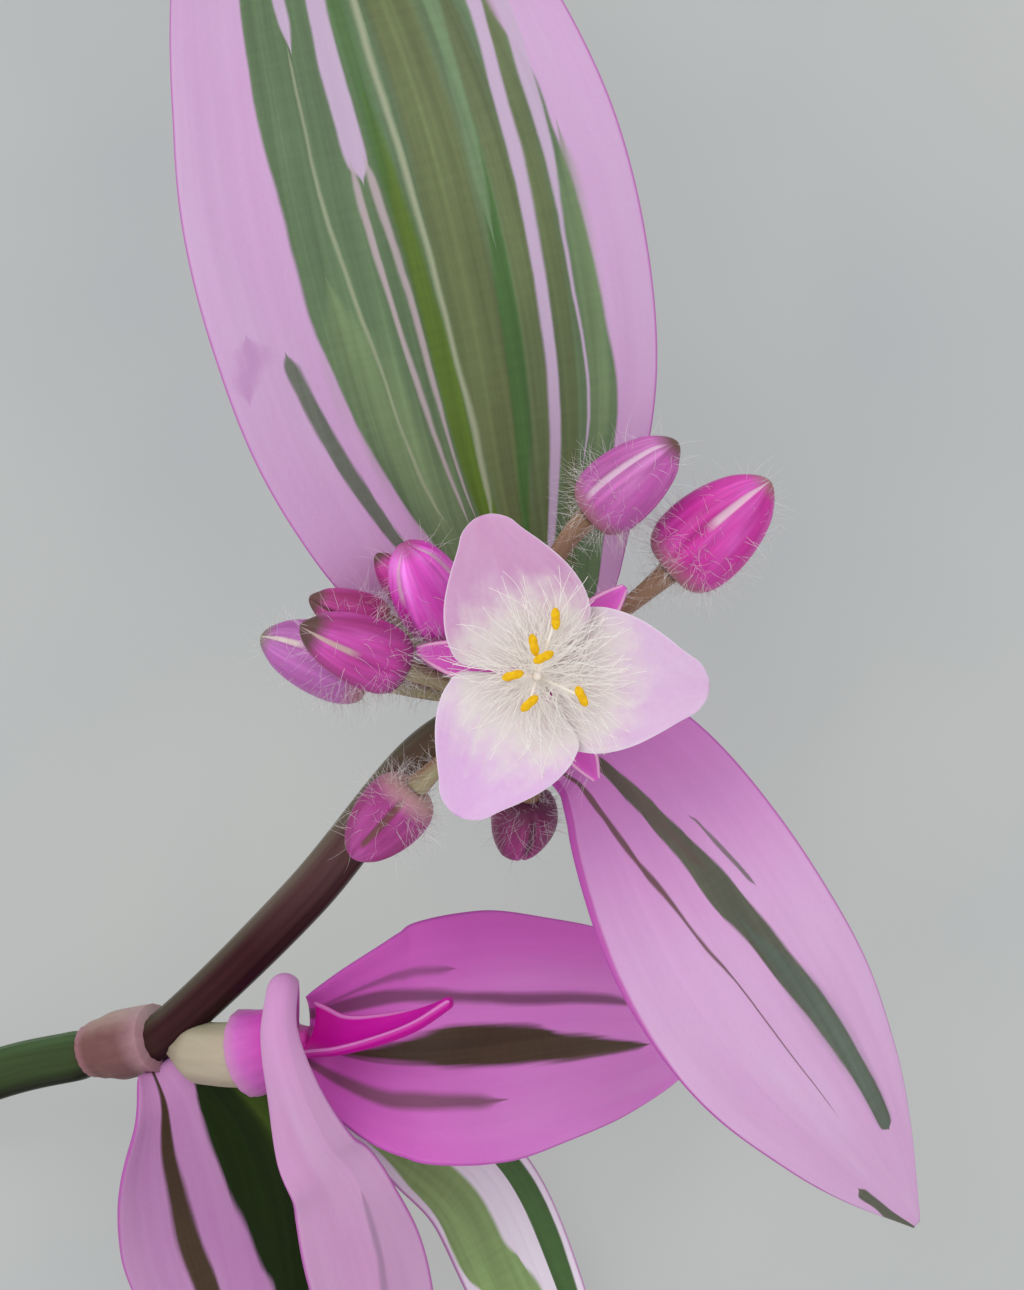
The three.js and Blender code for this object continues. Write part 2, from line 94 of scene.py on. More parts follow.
def add_node(tree: Tree, kind: str, sockets: Sockets | None = None, **settings: Any) -> bpy.types.Node:
    """Adds a node to a tree, sets it up and fills its inputs.

    Args:
        tree: The shader or geometry tree.
        kind: Blender's name for the type of node.
        sockets: Input name or number to its value, or to the output that feeds it.
        settings: Properties of the node.

    Returns:
        The new node.
    """
    node = tree.nodes.new(kind)
    for name, value in settings.items():
        setattr(node, name, value)
    for key, value in (sockets or {}).items():
        if isinstance(value, Socket):
            tree.links.new(value, node.inputs[key])
        else:
            node.inputs[key].default_value = value
    return node


def along(values: Sequence[Any] | Array, t: Array) -> Array:
    """Reads a smooth course through values that stand at even steps.

    Args:
        values: Numbers or points.
        t: Shares from 0 to 1.

    Returns:
        One row for each share.
    """
    rows = np.asarray(values, float)
    rows = rows[:, None] if rows.ndim == 1 else rows
    padded = np.vstack([2 * rows[0] - rows[1], rows, 2 * rows[-1] - rows[-2]])
    place = np.clip(t, 0, 1) * (len(rows) - 1)
    i = np.minimum(place.astype(int), len(rows) - 2)
    f = (place - i)[:, None]
    a, b, c, d = (padded[i + k] for k in range(4))
    return b + 0.5 * f * (c - a + f * (2 * a - 5 * b + 4 * c - d + f * (3 * (b - c) + d - a)))


def unit(rows: Array) -> Array:
    """Scales each row to length one."""
    return rows / np.maximum(np.linalg.norm(rows, axis=-1, keepdims=True), TINY)


def heading(degrees: float) -> Array:
    """The level unit vector that points in a direction."""
    return np.array([math.cos(math.radians(degrees)), math.sin(math.radians(degrees)), 0])


def smoothstep(x: Array) -> Array:
    """Eases from 0 to 1 over the numbers from 0 to 1."""
    x = np.clip(x, 0, 1)
    return x * x * (3 - 2 * x)


class Course:
    """A smooth line through points, read by shares of its length."""

    SAMPLES = 2001
    NUDGE = 1e-4  # step to both sides over which a direction is read

    def __init__(self, points: Sequence[Point] | Array) -> None:
        """Measures the line through the points.

        Args:
            points: Points at even steps of a smooth parameter.
        """
        self.points = np.asarray(points, float)
        self.steps = np.linspace(0, 1, self.SAMPLES)
        runs = np.linalg.norm(np.diff(along(self.points, self.steps), axis=0), axis=1)
        self.length = float(runs.sum())
        self.shares = np.concatenate([[0], np.cumsum(runs)]) / self.length

    def at(self, share: Array) -> Array:
        """Points at shares of the length."""
        return along(self.points, np.interp(share, self.shares, self.steps))

    def tangent(self, share: Array) -> Array:
        """Unit directions at shares of the length.

        Args:
            share: Shares of the length.

        Returns:
            One direction for each share.
        """
        t = np.interp(share, self.shares, self.steps)
        ahead, behind = np.clip(t + self.NUDGE, 0, 1), np.clip(t - self.NUDGE, 0, 1)
        return unit(along(self.points, ahead) - along(self.points, behind))

    def share_of(self, point: Point) -> float:
        """Share of the length at which the line passes nearest to a point."""
        gaps = np.linalg.norm(along(self.points, self.steps) - np.asarray(point), axis=1)
        return float(self.shares[gaps.argmin()])


@dataclass
class Surface:
    """A closed mesh before it is an object: points in millimetres, faces, and a UV for each corner."""

    points: Array
    faces: list[tuple[int, ...]]
    corners: Array
    marks: dict[str, Array] = field(default_factory=dict)  # a number for each point

    @staticmethod
    def joined(parts: Sequence["Surface"]) -> "Surface":
        """Puts several surfaces into one mesh.

        Args:
            parts: The surfaces, all with the same marks.

        Returns:
            One surface.
        """
        starts = np.cumsum([0] + [len(part.points) for part in parts])
        faces = [tuple(int(i + s) for i in f) for part, s in zip(parts, starts) for f in part.faces]
        marks = {k: np.concatenate([part.marks[k] for part in parts]) for k in parts[0].marks}
        points = np.vstack([part.points for part in parts])
        return Surface(points, faces, np.vstack([part.corners for part in parts]), marks)


def put_in_scene(name: str, data: bpy.types.ID) -> bpy.types.Object:
    """Makes an object of its data and links it to the scene.

    Args:
        name: The object's name.
        data: Its mesh, light or camera.

    Returns:
        The object.
    """
    thing = bpy.data.objects.new(name, data)
    bpy.context.scene.collection.objects.link(thing)
    return thing


def make_piece(
    name: str,
    surface: Surface,
    material: bpy.types.Material,
    nodes: Sequence[str] = (),
) -> bpy.types.Object:
    """Args:
        name: The piece's name.
        surface: Its mesh in millimetres.
        material: Its finish.
        nodes: The CAD nodes that it stands for.

    Returns:
        The object, at the origin, with its place in its mesh.
    """
    mesh = bpy.data.meshes.new(name)
    mesh.from_pydata((surface.points - ORIGIN) * METRES, [], surface.faces)
    layer = mesh.uv_layers.new(name=BLADE_MAP)
    layer.data.foreach_set("uv", surface.corners.astype(np.float32).ravel())
    for mark, numbers in surface.marks.items():
        marked = mesh.attributes.new(mark, "FLOAT", "POINT")
        marked.data.foreach_set("value", numbers.astype(np.float32))
    mesh.shade_smooth()
    mesh.materials.append(material)
    mesh.update()
    piece = put_in_scene(name, mesh)
    declare(piece, nodes)
    return piece


def declare(piece: bpy.types.Object, nodes: Sequence[str] = ()) -> None:
    """Says what a piece rides on and what it stands for, and reports it.

    Args:
        piece: The object.
        nodes: The CAD nodes that it stands for.
    """
    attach(piece, BODY)
    if nodes:
        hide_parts(*nodes)
    LOG.info("%s: %d faces", piece.name, len(piece.data.polygons))


def ring_surface(
    course: Course,
    radius: Callable[[Array, Array], Array],
    rings: int,
    sides: int,
    up: Point = (0, 0, 1),
    reach: Pair = (0.0, 1.0),
) -> Surface:
    """Closed body of rings round a course. Nothing goes below the surface that the plant lies on.

    Args:
        course: The centre line.
        radius: Radius in millimetres for a share of the reach and an angle in radians.
        rings: Number of steps along the course.
        sides: Number of points round it.
        up: Where angle zero looks.
        reach: First and last share of the course.

    Returns:
        The surface, with the share of the reach marked as "share".
    """
    share = np.linspace(0, 1, rings + 1)
    place = reach[0] + (reach[1] - reach[0]) * share
    centre, tangent = course.at(place), course.tangent(place)
    side = unit(np.cross(tangent, np.asarray(up, float)))
    top = np.cross(side, tangent)
    angle = 2 * np.pi * np.arange(sides) / sides
    spread = radius(share[:, None], angle[None, :])[..., None]
    way = top[:, None] * np.cos(angle)[None, :, None] + side[:, None] * np.sin(angle)[None, :, None]
    points = np.vstack([(centre[:, None] + spread * way).reshape(-1, 3), centre[:1], centre[-1:]])
    points[:, 2] = np.maximum(points[:, 2], 0)
    faces, corners = [], []
    start, end = (rings + 1) * sides, (rings + 1) * sides + 1
    for k in range(sides):
        near, far = k / sides, (k + 1) / sides
        after = (k + 1) % sides
        for i in range(rings):
            low, high = i * sides, (i + 1) * sides
            faces.append((low + k, low + after, high + after, high + k))
            corners += [(near, share[i]), (far, share[i]), (far, share[i + 1]), (near, share[i + 1])]
        faces.append((start, after, k))
        corners += [(near, 0), (far, 0), (near, 0)]
        faces.append((end, rings * sides + k, rings * sides + after))
        corners += [(near, 1), (near, 1), (far, 1)]
    marks = {"share": np.concatenate([np.repeat(share, sides), [0, 1]])}
    return Surface(points, faces, np.array(corners), marks)


# ---- Blades --------------------------------------------------------------------------------------


@dataclass
class Blade:
    """A leaf, petal or sepal: a thin closed sheet bent about its spine."""

    spine: Sequence[Point]
    widths: Sequence[float]  # from the spine to the margin, at even steps from root to tip
    face: Sequence[Point]  # where the upper face looks
    curl: Sequence[float]  # how far the blade turns up from spine to margin, in radians
    ripple: float = 0.0  # height of the waves of the margin
    waves: float = 1.0  # number of these waves
    thick: float = 0.8
    edge_share: float = 0.55  # thickness at the margin, as a share of that at the spine
    fluting: float = 0.0  # height of the soft ribs along the blade
    ribs: float = 7.0  # number of these ribs on each side
    round_from: float = 1.0  # share of the length from which the tip is rounded off
    rows: int = 130
    columns: int = 56

    END: ClassVar[float] = 1.0001  # just past the tip, so that a blade without a round tip divides too
    ROUNDING: ClassVar[float] = 0.998  # how far a round tip draws in
    STEP: ClassVar[float] = 1e-3  # step to both sides over which a slope is read
    MARGIN_EDGE: ClassVar[int] = 20  # how abruptly the thickness ends at the margin
    TIP_EDGE: ClassVar[int] = 80  # the same at root and tip

    def middle(self, u: Array, v: Array) -> Array:
        """The middle surface.

        Args:
            u: Shares from root to tip.
            v: Places across, from -1 to 1.

        Returns:
            Points in millimetres.
        """
        course = Course(self.spine)
        tangent = course.tangent(u)
        side = unit(np.cross(tangent, unit(along(self.face, u))))
        up = np.cross(side, tangent)
        bend = along(self.curl, u)[:, 0]
        tip = np.clip((u - self.round_from) / (self.END - self.round_from), 0, 1)
        width = along(self.widths, u)[:, 0]
        radius = width * np.sqrt(1 - self.ROUNDING * tip**2) / bend
        wave = np.sin(2 * np.pi * self.waves * u + np.sign(v)) * np.sin(np.pi * u) * np.abs(v) ** 3
        rib = np.cos(2 * np.pi * self.ribs * v) * (width / max(self.widths)) ** 2 * (1 - v**4)
        lift = radius * (1 - np.cos(bend * v)) + self.ripple * wave + self.fluting * rib
        return course.at(u) + side * (radius * np.sin(bend * v))[:, None] + up * lift[:, None]

    def surface(self) -> Surface:
        """Both faces over one grid, closed round the margin. Marks the lower face as "underside".

        Returns:
            The closed surface.
        """
        shares = np.linspace(0, 1, self.rows + 1)
        across = np.sin(np.pi / 2 * np.linspace(-1, 1, self.columns + 1))
        u, v = (grid.ravel() for grid in np.meshgrid(shares, across, indexing="ij"))
        step = self.STEP
        lengthwise = self.middle(np.minimum(u + step, 1), v) - self.middle(np.maximum(u - step, 0), v)
        crosswise = self.middle(u, np.minimum(v + step, 1)) - self.middle(u, np.maximum(v - step, -1))
        normal = unit(np.cross(crosswise, lengthwise))
        ends = (1 - u**self.TIP_EDGE) * (1 - (1 - u) ** self.TIP_EDGE)
        rim = np.sqrt(np.clip((1 - np.abs(v) ** self.MARGIN_EDGE) * ends, 0, 1))
        half = self.thick / 2 * (1 - (1 - self.edge_share) * v * v) * rim
        middle = self.middle(u, v)
        upper, lower = middle + normal * half[:, None], middle - normal * half[:, None]
        upper[:, 2], lower[:, 2] = np.maximum(upper[:, 2], 2 * half), np.maximum(lower[:, 2], 0)
        return self.close(upper, lower, np.column_stack([(v + 1) / 2, u]))

    def close(self, upper: Array, lower: Array, place: Array) -> Surface:
        """Joins the two faces, which share the points of the margin.

        Args:
            upper: Points of the upper face, row by row.
            lower: Points of the lower face.
            place: The grid's UV, point by point.

        Returns:
            The closed surface.
        """
        wide = self.columns + 1
        grid = np.arange(len(upper)).reshape(self.rows + 1, wide)
        inner = np.zeros_like(grid, bool)
        inner[1:-1, 1:-1] = True
        below = grid.copy()
        below[inner] = len(upper) + np.arange(inner.sum())
        points = np.vstack([upper, lower[inner.ravel()]])
        faces, corners = [], []
        for table, order in ((grid, [0, 1, 2, 3]), (below, [0, 3, 2, 1])):
            quads, where = (
                np.stack([t[:-1, :-1], t[:-1, 1:], t[1:, 1:], t[1:, :-1]], -1).reshape(-1, 4)[:, order]
                for t in (table, grid)
            )
            faces += [tuple(row) for row in quads.tolist()]
            corners.append(place[where.ravel()])
        under = np.concatenate([np.zeros(len(upper)), np.ones(int(inner.sum()))])
        return Surface(points, faces, np.vstack(corners), {"underside": under})


# ---- Finishes ------------------------------------------------------------------------------------


def blade_place(tree: Tree) -> tuple[Socket, Socket]:
    """Adds the piece's own coordinates and returns the one across and the one along, from 0 to 1.

    Args:
        tree: The material's tree.

    Returns:
        The output across the piece and the one along it.
    """
    blade = add_node(tree, "ShaderNodeUVMap", uv_map=BLADE_MAP)
    parts = add_node(tree, "ShaderNodeSeparateXYZ", {0: blade.outputs["UV"]})
    return parts.outputs[0], parts.outputs[1]


def gap_to(tree: Tree, across: Socket, place: Any) -> Socket:
    """Adds the distance between the place across a piece and another place."""
    offset = add_node(tree, "ShaderNodeMath", {0: across, 1: place}, operation="SUBTRACT")
    return add_node(tree, "ShaderNodeMath", {0: offset.outputs[0]}, operation="ABSOLUTE").outputs[0]


def lay_over(tree: Tree, share: Any, below: Any, above: Any) -> Socket:
    """Lays one colour over another by a share and returns the result.

    Args:
        tree: The material's tree.
        share: How much of the upper colour shows, as a number or an output.
        below: The lower colour, or the output that gives it.
        above: The upper colour, or the output that gives it.

    Returns:
        The output of the mixed colour.
    """
    mix = add_node(tree, "ShaderNodeMix", {0: share, 6: below, 7: above}, data_type="RGBA")
    return mix.outputs[2]


def drawn_out(tree: Tree, marks: Pair, detail: float) -> Socket:
    """Adds a noise that is drawn out along a piece.

    Args:
        tree: The material's tree.
        marks: About how many marks stand across the piece, and how many along it.
        detail: How many finer noises it carries.

    Returns:
        The noise's output.
    """
    across, up = blade_place(tree)
    place = add_node(tree, "ShaderNodeCombineXYZ", {0: across, 1: up}).outputs[0]
    scaled = add_node(tree, "ShaderNodeVectorMath", {0: place, 1: (*marks, 0)}, operation="MULTIPLY")
    noise = {"Vector": scaled.outputs[0], "Scale": 1.0, "Detail": detail}
    return add_node(tree, "ShaderNodeTexNoise", noise).outputs["Fac"]


def shaded(tree: Tree, colour: Socket, noise: Socket, depth: Any) -> Socket:
    """Makes a colour lighter and darker with a noise.

    Args:
        tree: The material's tree.
        colour: The colour's output.
        noise: The noise's output.
        depth: Share by which the noise changes the colour, as a number or an output.

    Returns:
        The output of the shaded colour.
    """
    limits = {"Value": noise, "From Min": 0.3, "From Max": 0.7, "To Min": -1.0}
    swing = add_node(tree, "ShaderNodeMapRange", limits).outputs[0]
    factor = add_node(tree, "ShaderNodeMath", {0: swing, 1: depth, 2: 1.0}, operation="MULTIPLY_ADD")
    terms = {0: colour, "Scale": factor.outputs[0]}
    return add_node(tree, "ShaderNodeVectorMath", terms, operation="SCALE").outputs[0]


@dataclass(frozen=True)
class Finish:
    """A soft plant tissue. Its kinds say where the colour and the relief come from."""

    name: str
    roughness: float = 0.45
    relief: float = 0.02  # height of the fine relief in millimetres
    grain: float = 0.35  # size of the fine relief in millimetres
    flesh: float = 0.12  # share of light that spreads below the surface
    shine: float = 0.35  # how much the skin mirrors
    glow: float = 0.0  # light that it gives off: a lamp's for the light table, painted light for the ovary and the beard

    IOR: ClassVar[float] = 1.42  # of wet plant cell walls
    SPREAD: ClassVar[tuple[float, float, float]] = (1.0, 0.45, 0.7)  # red light spreads furthest
    SPREAD_REACH: ClassVar[float] = 0.5  # how far it spreads, in millimetres

    def colour(self, tree: Tree) -> Socket:
        """Adds the nodes of the colour and returns their output."""
        raise NotImplementedError

    def material(self) -> bpy.types.Material:
        """Makes the material: colour, fine relief in object space and a shader for moist tissue.

        Returns:
            The material, named after its tissue.
        """
        material = bpy.data.materials.new(self.name)
        material.use_nodes = True
        tree = material.node_tree
        tree.nodes.clear()
        space = add_node(tree, "ShaderNodeTexCoord").outputs["Object"]
        noise = {"Vector": space, "Scale": 1 / (self.grain * METRES), "Detail": 2.0}
        cells = add_node(tree, "ShaderNodeTexNoise", noise).outputs["Fac"]
        bump = add_node(tree, "ShaderNodeBump", {"Height": cells, "Distance": self.relief * METRES})
        colour = self.colour(tree)
        shader = add_node(
            tree,
            "ShaderNodeBsdfPrincipled",
            {
                "Base Color": colour,
                "Emission Color": colour,
                "Emission Strength": self.glow,
                "Roughness": self.roughness,
                "IOR": self.IOR,
                "Specular IOR Level": self.shine,
                "Subsurface Weight": self.flesh,
                "Subsurface Radius": self.SPREAD,
                "Subsurface Scale": self.SPREAD_REACH * METRES,
                "Normal": bump.outputs["Normal"],
            },
        )
        add_node(tree, "ShaderNodeOutputMaterial", {"Surface": shader.outputs["BSDF"]})
        return material


class Tone(Enum):
    """Colours of the bands on the leaves."""

    LILAC = "#bfa8c2"
    DUSTY_LILAC = "#b3a3a6"
    PALE_SAGE = "#9fa588"
    SAGE = "#718a64"
    BAND_GREEN = "#5d7352"
    SOFT_GREEN = "#758a61"
    OLIVE_GREEN = "#646d43"
    SUN_GREEN = "#56701f"
    GRASS_GREEN = "#456b34"
    FRESH_GREEN = "#8aa468"
    LEEK_GREEN = "#466635"
    # near-black green: leaf green with painted shade
    SHADED_DEEP_GREEN = "#182a02"
    GREY_GREEN = "#626c5a"
    BLUE_GREEN = "#5d6c5f"
    GREY_OLIVE = "#5f6052"
    BROWN_OLIVE = "#4c3b2c"
    BROWN = "#6a4a4c"
    MAUVE_BROWN = "#6f3f5c"
    # mauve laid over the front shoot leaf as painted shade
    MAUVE = "#9d7a99"
    MAGENTA = "#b83aa4"
    ORCHID = "#d65fc3"
    ROSE_PURPLE = "#a866a4"

    @property
    def green(self) -> bool:
        """Whether the band holds leaf green, where the veins show most."""
        return "GREEN" in self.name or self in (Tone.SAGE, Tone.GREY_OLIVE, Tone.BROWN_OLIVE)


@dataclass(frozen=True)
class Stripe:
    """A band of colour along a blade.

    Each point of its path holds its share of the length, its place across and half its width there,
    in thousandths. The last two are parts of half the blade, whose margins are at -1000 and 1000.
    """

    tone: Tone
    path: tuple[tuple[int, int, int], ...]
    softness: float = 0.03  # how wide each edge fades, as a share of half the blade
    strength: float = 1.0
    streaks: float = 0.0  # how far fine streaks reach in from its edges, as a share of half the blade

    LEAST_WIDTH: ClassVar[float] = 0.0005  # it isn't drawn where it is narrower than this share of the blade
    LEAST_FADE: ClassVar[float] = 1e-5
    CURVE_END: ClassVar[float] = 0.01  # a curve runs on level for this share past its ends

    def course(self, tree: Tree, up: Socket, column: int, shift: float = 0.0) -> Socket:
        """Adds a curve through one column of the path, as a share of the whole blade's width.

        Args:
            tree: The material's tree.
            up: Place along the blade.
            column: Which number of each point is read.
            shift: What is added to it.

        Returns:
            The curve's output.
        """
        node = add_node(tree, "ShaderNodeFloatCurve", {"Value": up})
        places = [(row[0] / 1000, shift + row[column] / 2000) for row in self.path]
        (start, first), (stop, last) = places[0], places[-1]
        places = [(start - self.CURVE_END, first), *places, (stop + self.CURVE_END, last)]
        node.mapping.use_clip = False
        curve = node.mapping.curves[0]
        for _ in places[2:]:
            curve.points.new(0.5, 0.5)
        for point, place in zip(curve.points, places):
            point.location = place
            point.handle_type = "AUTO_CLAMPED"
        node.mapping.extend = "HORIZONTAL"
        node.mapping.update()
        return node.outputs[0]

    def mask(self, tree: Tree, across: Socket, up: Socket, streak: Socket) -> Socket:
        """Adds the nodes that give 1 inside the stripe and 0 outside it.

        Args:
            tree: The material's tree.
            across: Place across the blade.
            up: Place along the blade.
            streak: Noise about zero that is drawn out along the blade.

        Returns:
            The mask's output.
        """
        gap = gap_to(tree, across, self.course(tree, up, 1, 0.5))
        terms = {0: self.course(tree, up, 2), 1: self.LEAST_WIDTH}
        width = add_node(tree, "ShaderNodeMath", terms, operation="SUBTRACT").outputs[0]
        inside = add_node(tree, "ShaderNodeMath", {0: width, 1: gap}, operation="SUBTRACT").outputs[0]
        if self.streaks:
            reach = add_node(tree, "ShaderNodeMath", {0: width, 1: self.streaks}, operation="MINIMUM")
            terms = {0: streak, 1: reach.outputs[0], 2: inside}
            inside = add_node(tree, "ShaderNodeMath", terms, operation="MULTIPLY_ADD").outputs[0]
        soft = add_node(tree, "ShaderNodeMath", {0: width, 1: self.softness / 4}, operation="MINIMUM")
        terms = {0: soft.outputs[0], 1: self.LEAST_FADE}
        fade = add_node(tree, "ShaderNodeMath", terms, operation="MAXIMUM").outputs[0]
        start = add_node(tree, "ShaderNodeMath", {0: fade, 1: -1.0}, operation="MULTIPLY").outputs[0]
        limits = {"Value": inside, "From Min": start, "From Max": fade, "To Max": self.strength}
        return add_node(tree, "ShaderNodeMapRange", limits, interpolation_type="SMOOTHSTEP").outputs[0]


@dataclass(frozen=True)
class BladeFinish(Finish):
    """A tissue whose pattern follows its own blade: marks are drawn out from root to tip."""

    base: str = "#cfaacf"
    pale: str = "#d6bad6"  # of the bloom
    root: str = "#bd74b6"
    margin: str = "#b04aa6"
    width: float = 14.0  # of the blade, in millimetres
    length: float = 45.0

    def drawn(self, tree: Tree, per_mm: Pair, detail: float) -> Socket:
        """Adds a noise with so many marks a millimetre across the blade and along it."""
        return drawn_out(tree, (per_mm[0] * self.width, per_mm[1] * self.length), detail)

    def bloom(self, tree: Tree, per_mm: Pair) -> Socket:
        """Adds the skin's own colour, with its paler bloom in soft patches.

        Args:
            tree: The material's tree.
            per_mm: Patches a millimetre, across and along.

        Returns:
            The output of the colour.
        """
        limits = {"Value": self.drawn(tree, per_mm, 3.0), "From Min": 0.4, "From Max": 0.7}
        share = add_node(tree, "ShaderNodeMapRange", limits).outputs[0]
        return lay_over(tree, share, linear(self.base), linear(self.pale))

    def rim(self, tree: Tree, reach: float, strength: float = 0.8) -> Socket:
        """Adds a mask of the margin, about `reach` millimetres wide.

        Args:
            tree: The material's tree.
            reach: How wide the margin is, in millimetres.
            strength: What the mask reaches at the edge.

        Returns:
            The mask's output.
        """
        across, _ = blade_place(tree)
        start = 0.5 - 2 * reach / self.width
        limits = {"Value": gap_to(tree, across, 0.5), "From Min": start, "From Max": 0.5, "To Max": strength}
        return add_node(tree, "ShaderNodeMapRange", limits, interpolation_type="SMOOTHSTEP").outputs[0]


@dataclass(frozen=True)
class LeafFinish(BladeFinish):
    """Inch plant leaf: a fleshy blade with a satin skin, lilac where it has no green, in long bands.

    The skin shows fine parallel veins, most of all in the green, a paler bloom in soft patches and a
    thin purple margin. The lower face is flushed with purple. Scales are marks a millimetre, across
    the blade and along it.
    """

    root_reach: float = 0.3  # share of the length that the root's colour takes
    underside: str = "#a2579b"
    veins: Pair = (0.018, 0.13)  # their depth outside and inside the green
    wobble: float = 0.004  # how far the bands waver, as a share of the width
    stripes: tuple[Stripe, ...] = ()

    WAVER: ClassVar[Pair] = (0.5, 0.35)
    BLOOM: ClassVar[Pair] = (0.25, 0.05)
    STREAKS: ClassVar[Pair] = (1.7, 0.07)  # along the edges of the bands
    VEINS: ClassVar[tuple[Pair, ...]] = ((2.6, 0.04), (0.8, 0.03), (0.22, 0.07))
    CELLS: ClassVar[Pair] = (0.35, 2.2)  # rows of cells across the green
    CELL_DEPTH: ClassVar[float] = 0.05
    PLAIN_TIP: ClassVar[Pair] = (0.85, 0.97)  # share of the length over which the veins fade
    MARGIN: ClassVar[float] = 0.09  # millimetres
    FLUSH: ClassVar[float] = 0.8  # how much of its own colour the lower face shows

    def colour(self, tree: Tree) -> Socket:
        """Adds the skin's own colour, the stripes over it, then veins, margin and lower face.

        Args:
            tree: The material's tree.

        Returns:
            The output of the colour.
        """
        across, up = blade_place(tree)
        limits = {"Value": self.drawn(tree, self.WAVER, 2.0), "To Min": -self.wobble, "To Max": self.wobble}
        shift = add_node(tree, "ShaderNodeMapRange", limits).outputs[0]
        moved = add_node(tree, "ShaderNodeMath", {0: across, 1: shift}, operation="ADD").outputs[0]
        terms = {0: self.drawn(tree, self.STREAKS, 3.0), 1: 0.5}
        streak = add_node(tree, "ShaderNodeMath", terms, operation="SUBTRACT").outputs[0]
        limits = {"Value": up, "From Max": self.root_reach, "To Min": 1.0, "To Max": 0.0}
        near_root = add_node(tree, "ShaderNodeMapRange", limits, interpolation_type="SMOOTHSTEP")
        colour = lay_over(tree, near_root.outputs[0], self.bloom(tree, self.BLOOM), linear(self.root))
        green: Any = 0.0
        for stripe in self.stripes:
            mask = stripe.mask(tree, moved, up, streak)
            colour = lay_over(tree, mask, colour, linear(stripe.tone.value))
            terms = {0: mask, 2: green, 3: float(stripe.tone.green)}
            green = add_node(tree, "ShaderNodeMix", terms).outputs[0]
        limits = {"Value": green, "To Min": self.veins[0], "To Max": self.veins[1]}
        depth = add_node(tree, "ShaderNodeMapRange", limits).outputs[0]
        start, stop = self.PLAIN_TIP
        limits = {"Value": up, "From Min": start, "From Max": stop, "To Min": 1.0, "To Max": 0.2}
        fade = add_node(tree, "ShaderNodeMapRange", limits).outputs[0]
        depth = add_node(tree, "ShaderNodeMath", {0: depth, 1: fade}, operation="MULTIPLY").outputs[0]
        for per_mm in self.VEINS:
            colour = shaded(tree, colour, self.drawn(tree, per_mm, 2.0), depth)
        rows = add_node(tree, "ShaderNodeMath", {0: green, 1: self.CELL_DEPTH}, operation="MULTIPLY")
        colour = shaded(tree, colour, self.drawn(tree, self.CELLS, 3.0), rows.outputs[0])
        colour = lay_over(tree, self.rim(tree, self.MARGIN), colour, linear(self.margin))
        under = add_node(tree, "ShaderNodeAttribute", attribute_name="underside").outputs["Fac"]
        turned = add_node(tree, "ShaderNodeMath", {0: under, 1: self.FLUSH}, operation="MULTIPLY")
        return lay_over(tree, turned.outputs[0], colour, linear(self.underside))


@dataclass(frozen=True)
class PetalFinish(BladeFinish):
    """Petal: thin and soft, white round the flower's middle, feathered into lilac, with a light rim."""

    roughness: float = 0.55
    relief: float = 0.015
    flesh: float = 0.25
    margin: str = "#e9dbe6"
    width: float = 8.4
    length: float = 9.0
    white: str = "#e4dcda"
    white_reach: float = 5.3  # millimetres from the flower's middle
    feather: float = 3.0  # how far the white and the lilac reach into each other, in millimetres
    fade: float = 1.8  # how softly they meet, in millimetres to both sides

    def colour(self, tree: Tree) -> Socket:
        """Adds lilac in soft patches, the white middle, faint veins and the rim.

        Args:
            tree: The material's tree.

        Returns:
            The output of the colour.
        """
        colour = self.bloom(tree, (0.3, 0.15))
        space = add_node(tree, "ShaderNodeTexCoord").outputs["Object"]
        terms = {0: space, 1: (1 / METRES, 1 / METRES, 0)}
        level = add_node(tree, "ShaderNodeVectorMath", terms, operation="MULTIPLY").outputs[0]
        terms = {0: level, 1: (FLOWER[0] - ORIGIN[0], FLOWER[1] - ORIGIN[1], 0)}
        distance = add_node(tree, "ShaderNodeVectorMath", terms, operation="DISTANCE").outputs["Value"]
        soft = {"Vector": level, "Scale": 0.9, "Detail": 6.0, "Roughness": 0.6}
        feathers = add_node(tree, "ShaderNodeTexNoise", soft).outputs["Fac"]
        terms = {0: feathers, 1: self.drawn(tree, (1.4, 0.2), 4.0)}
        both = add_node(tree, "ShaderNodeMath", terms, operation="ADD").outputs[0]
        limits = {"Value": both, "From Max": 2.0, "To Min": -self.feather, "To Max": self.feather}
        shift = add_node(tree, "ShaderNodeMapRange", limits).outputs[0]
        reach = add_node(tree, "ShaderNodeMath", {0: distance, 1: shift}, operation="ADD").outputs[0]
        start, stop = self.white_reach - self.fade, self.white_reach + self.fade
        limits = {"Value": reach, "From Min": start, "From Max": stop, "To Min": 1.0, "To Max": 0.0}
        white = add_node(tree, "ShaderNodeMapRange", limits, interpolation_type="SMOOTHSTEP").outputs[0]
        colour = lay_over(tree, white, colour, linear(self.white))
        grain = {"Vector": level, "Scale": 3.0, "Detail": 3.0}
        colour = shaded(tree, colour, add_node(tree, "ShaderNodeTexNoise", grain).outputs["Fac"], 0.02)
        return lay_over(tree, self.rim(tree, 0.07, 0.6), colour, linear(self.margin))


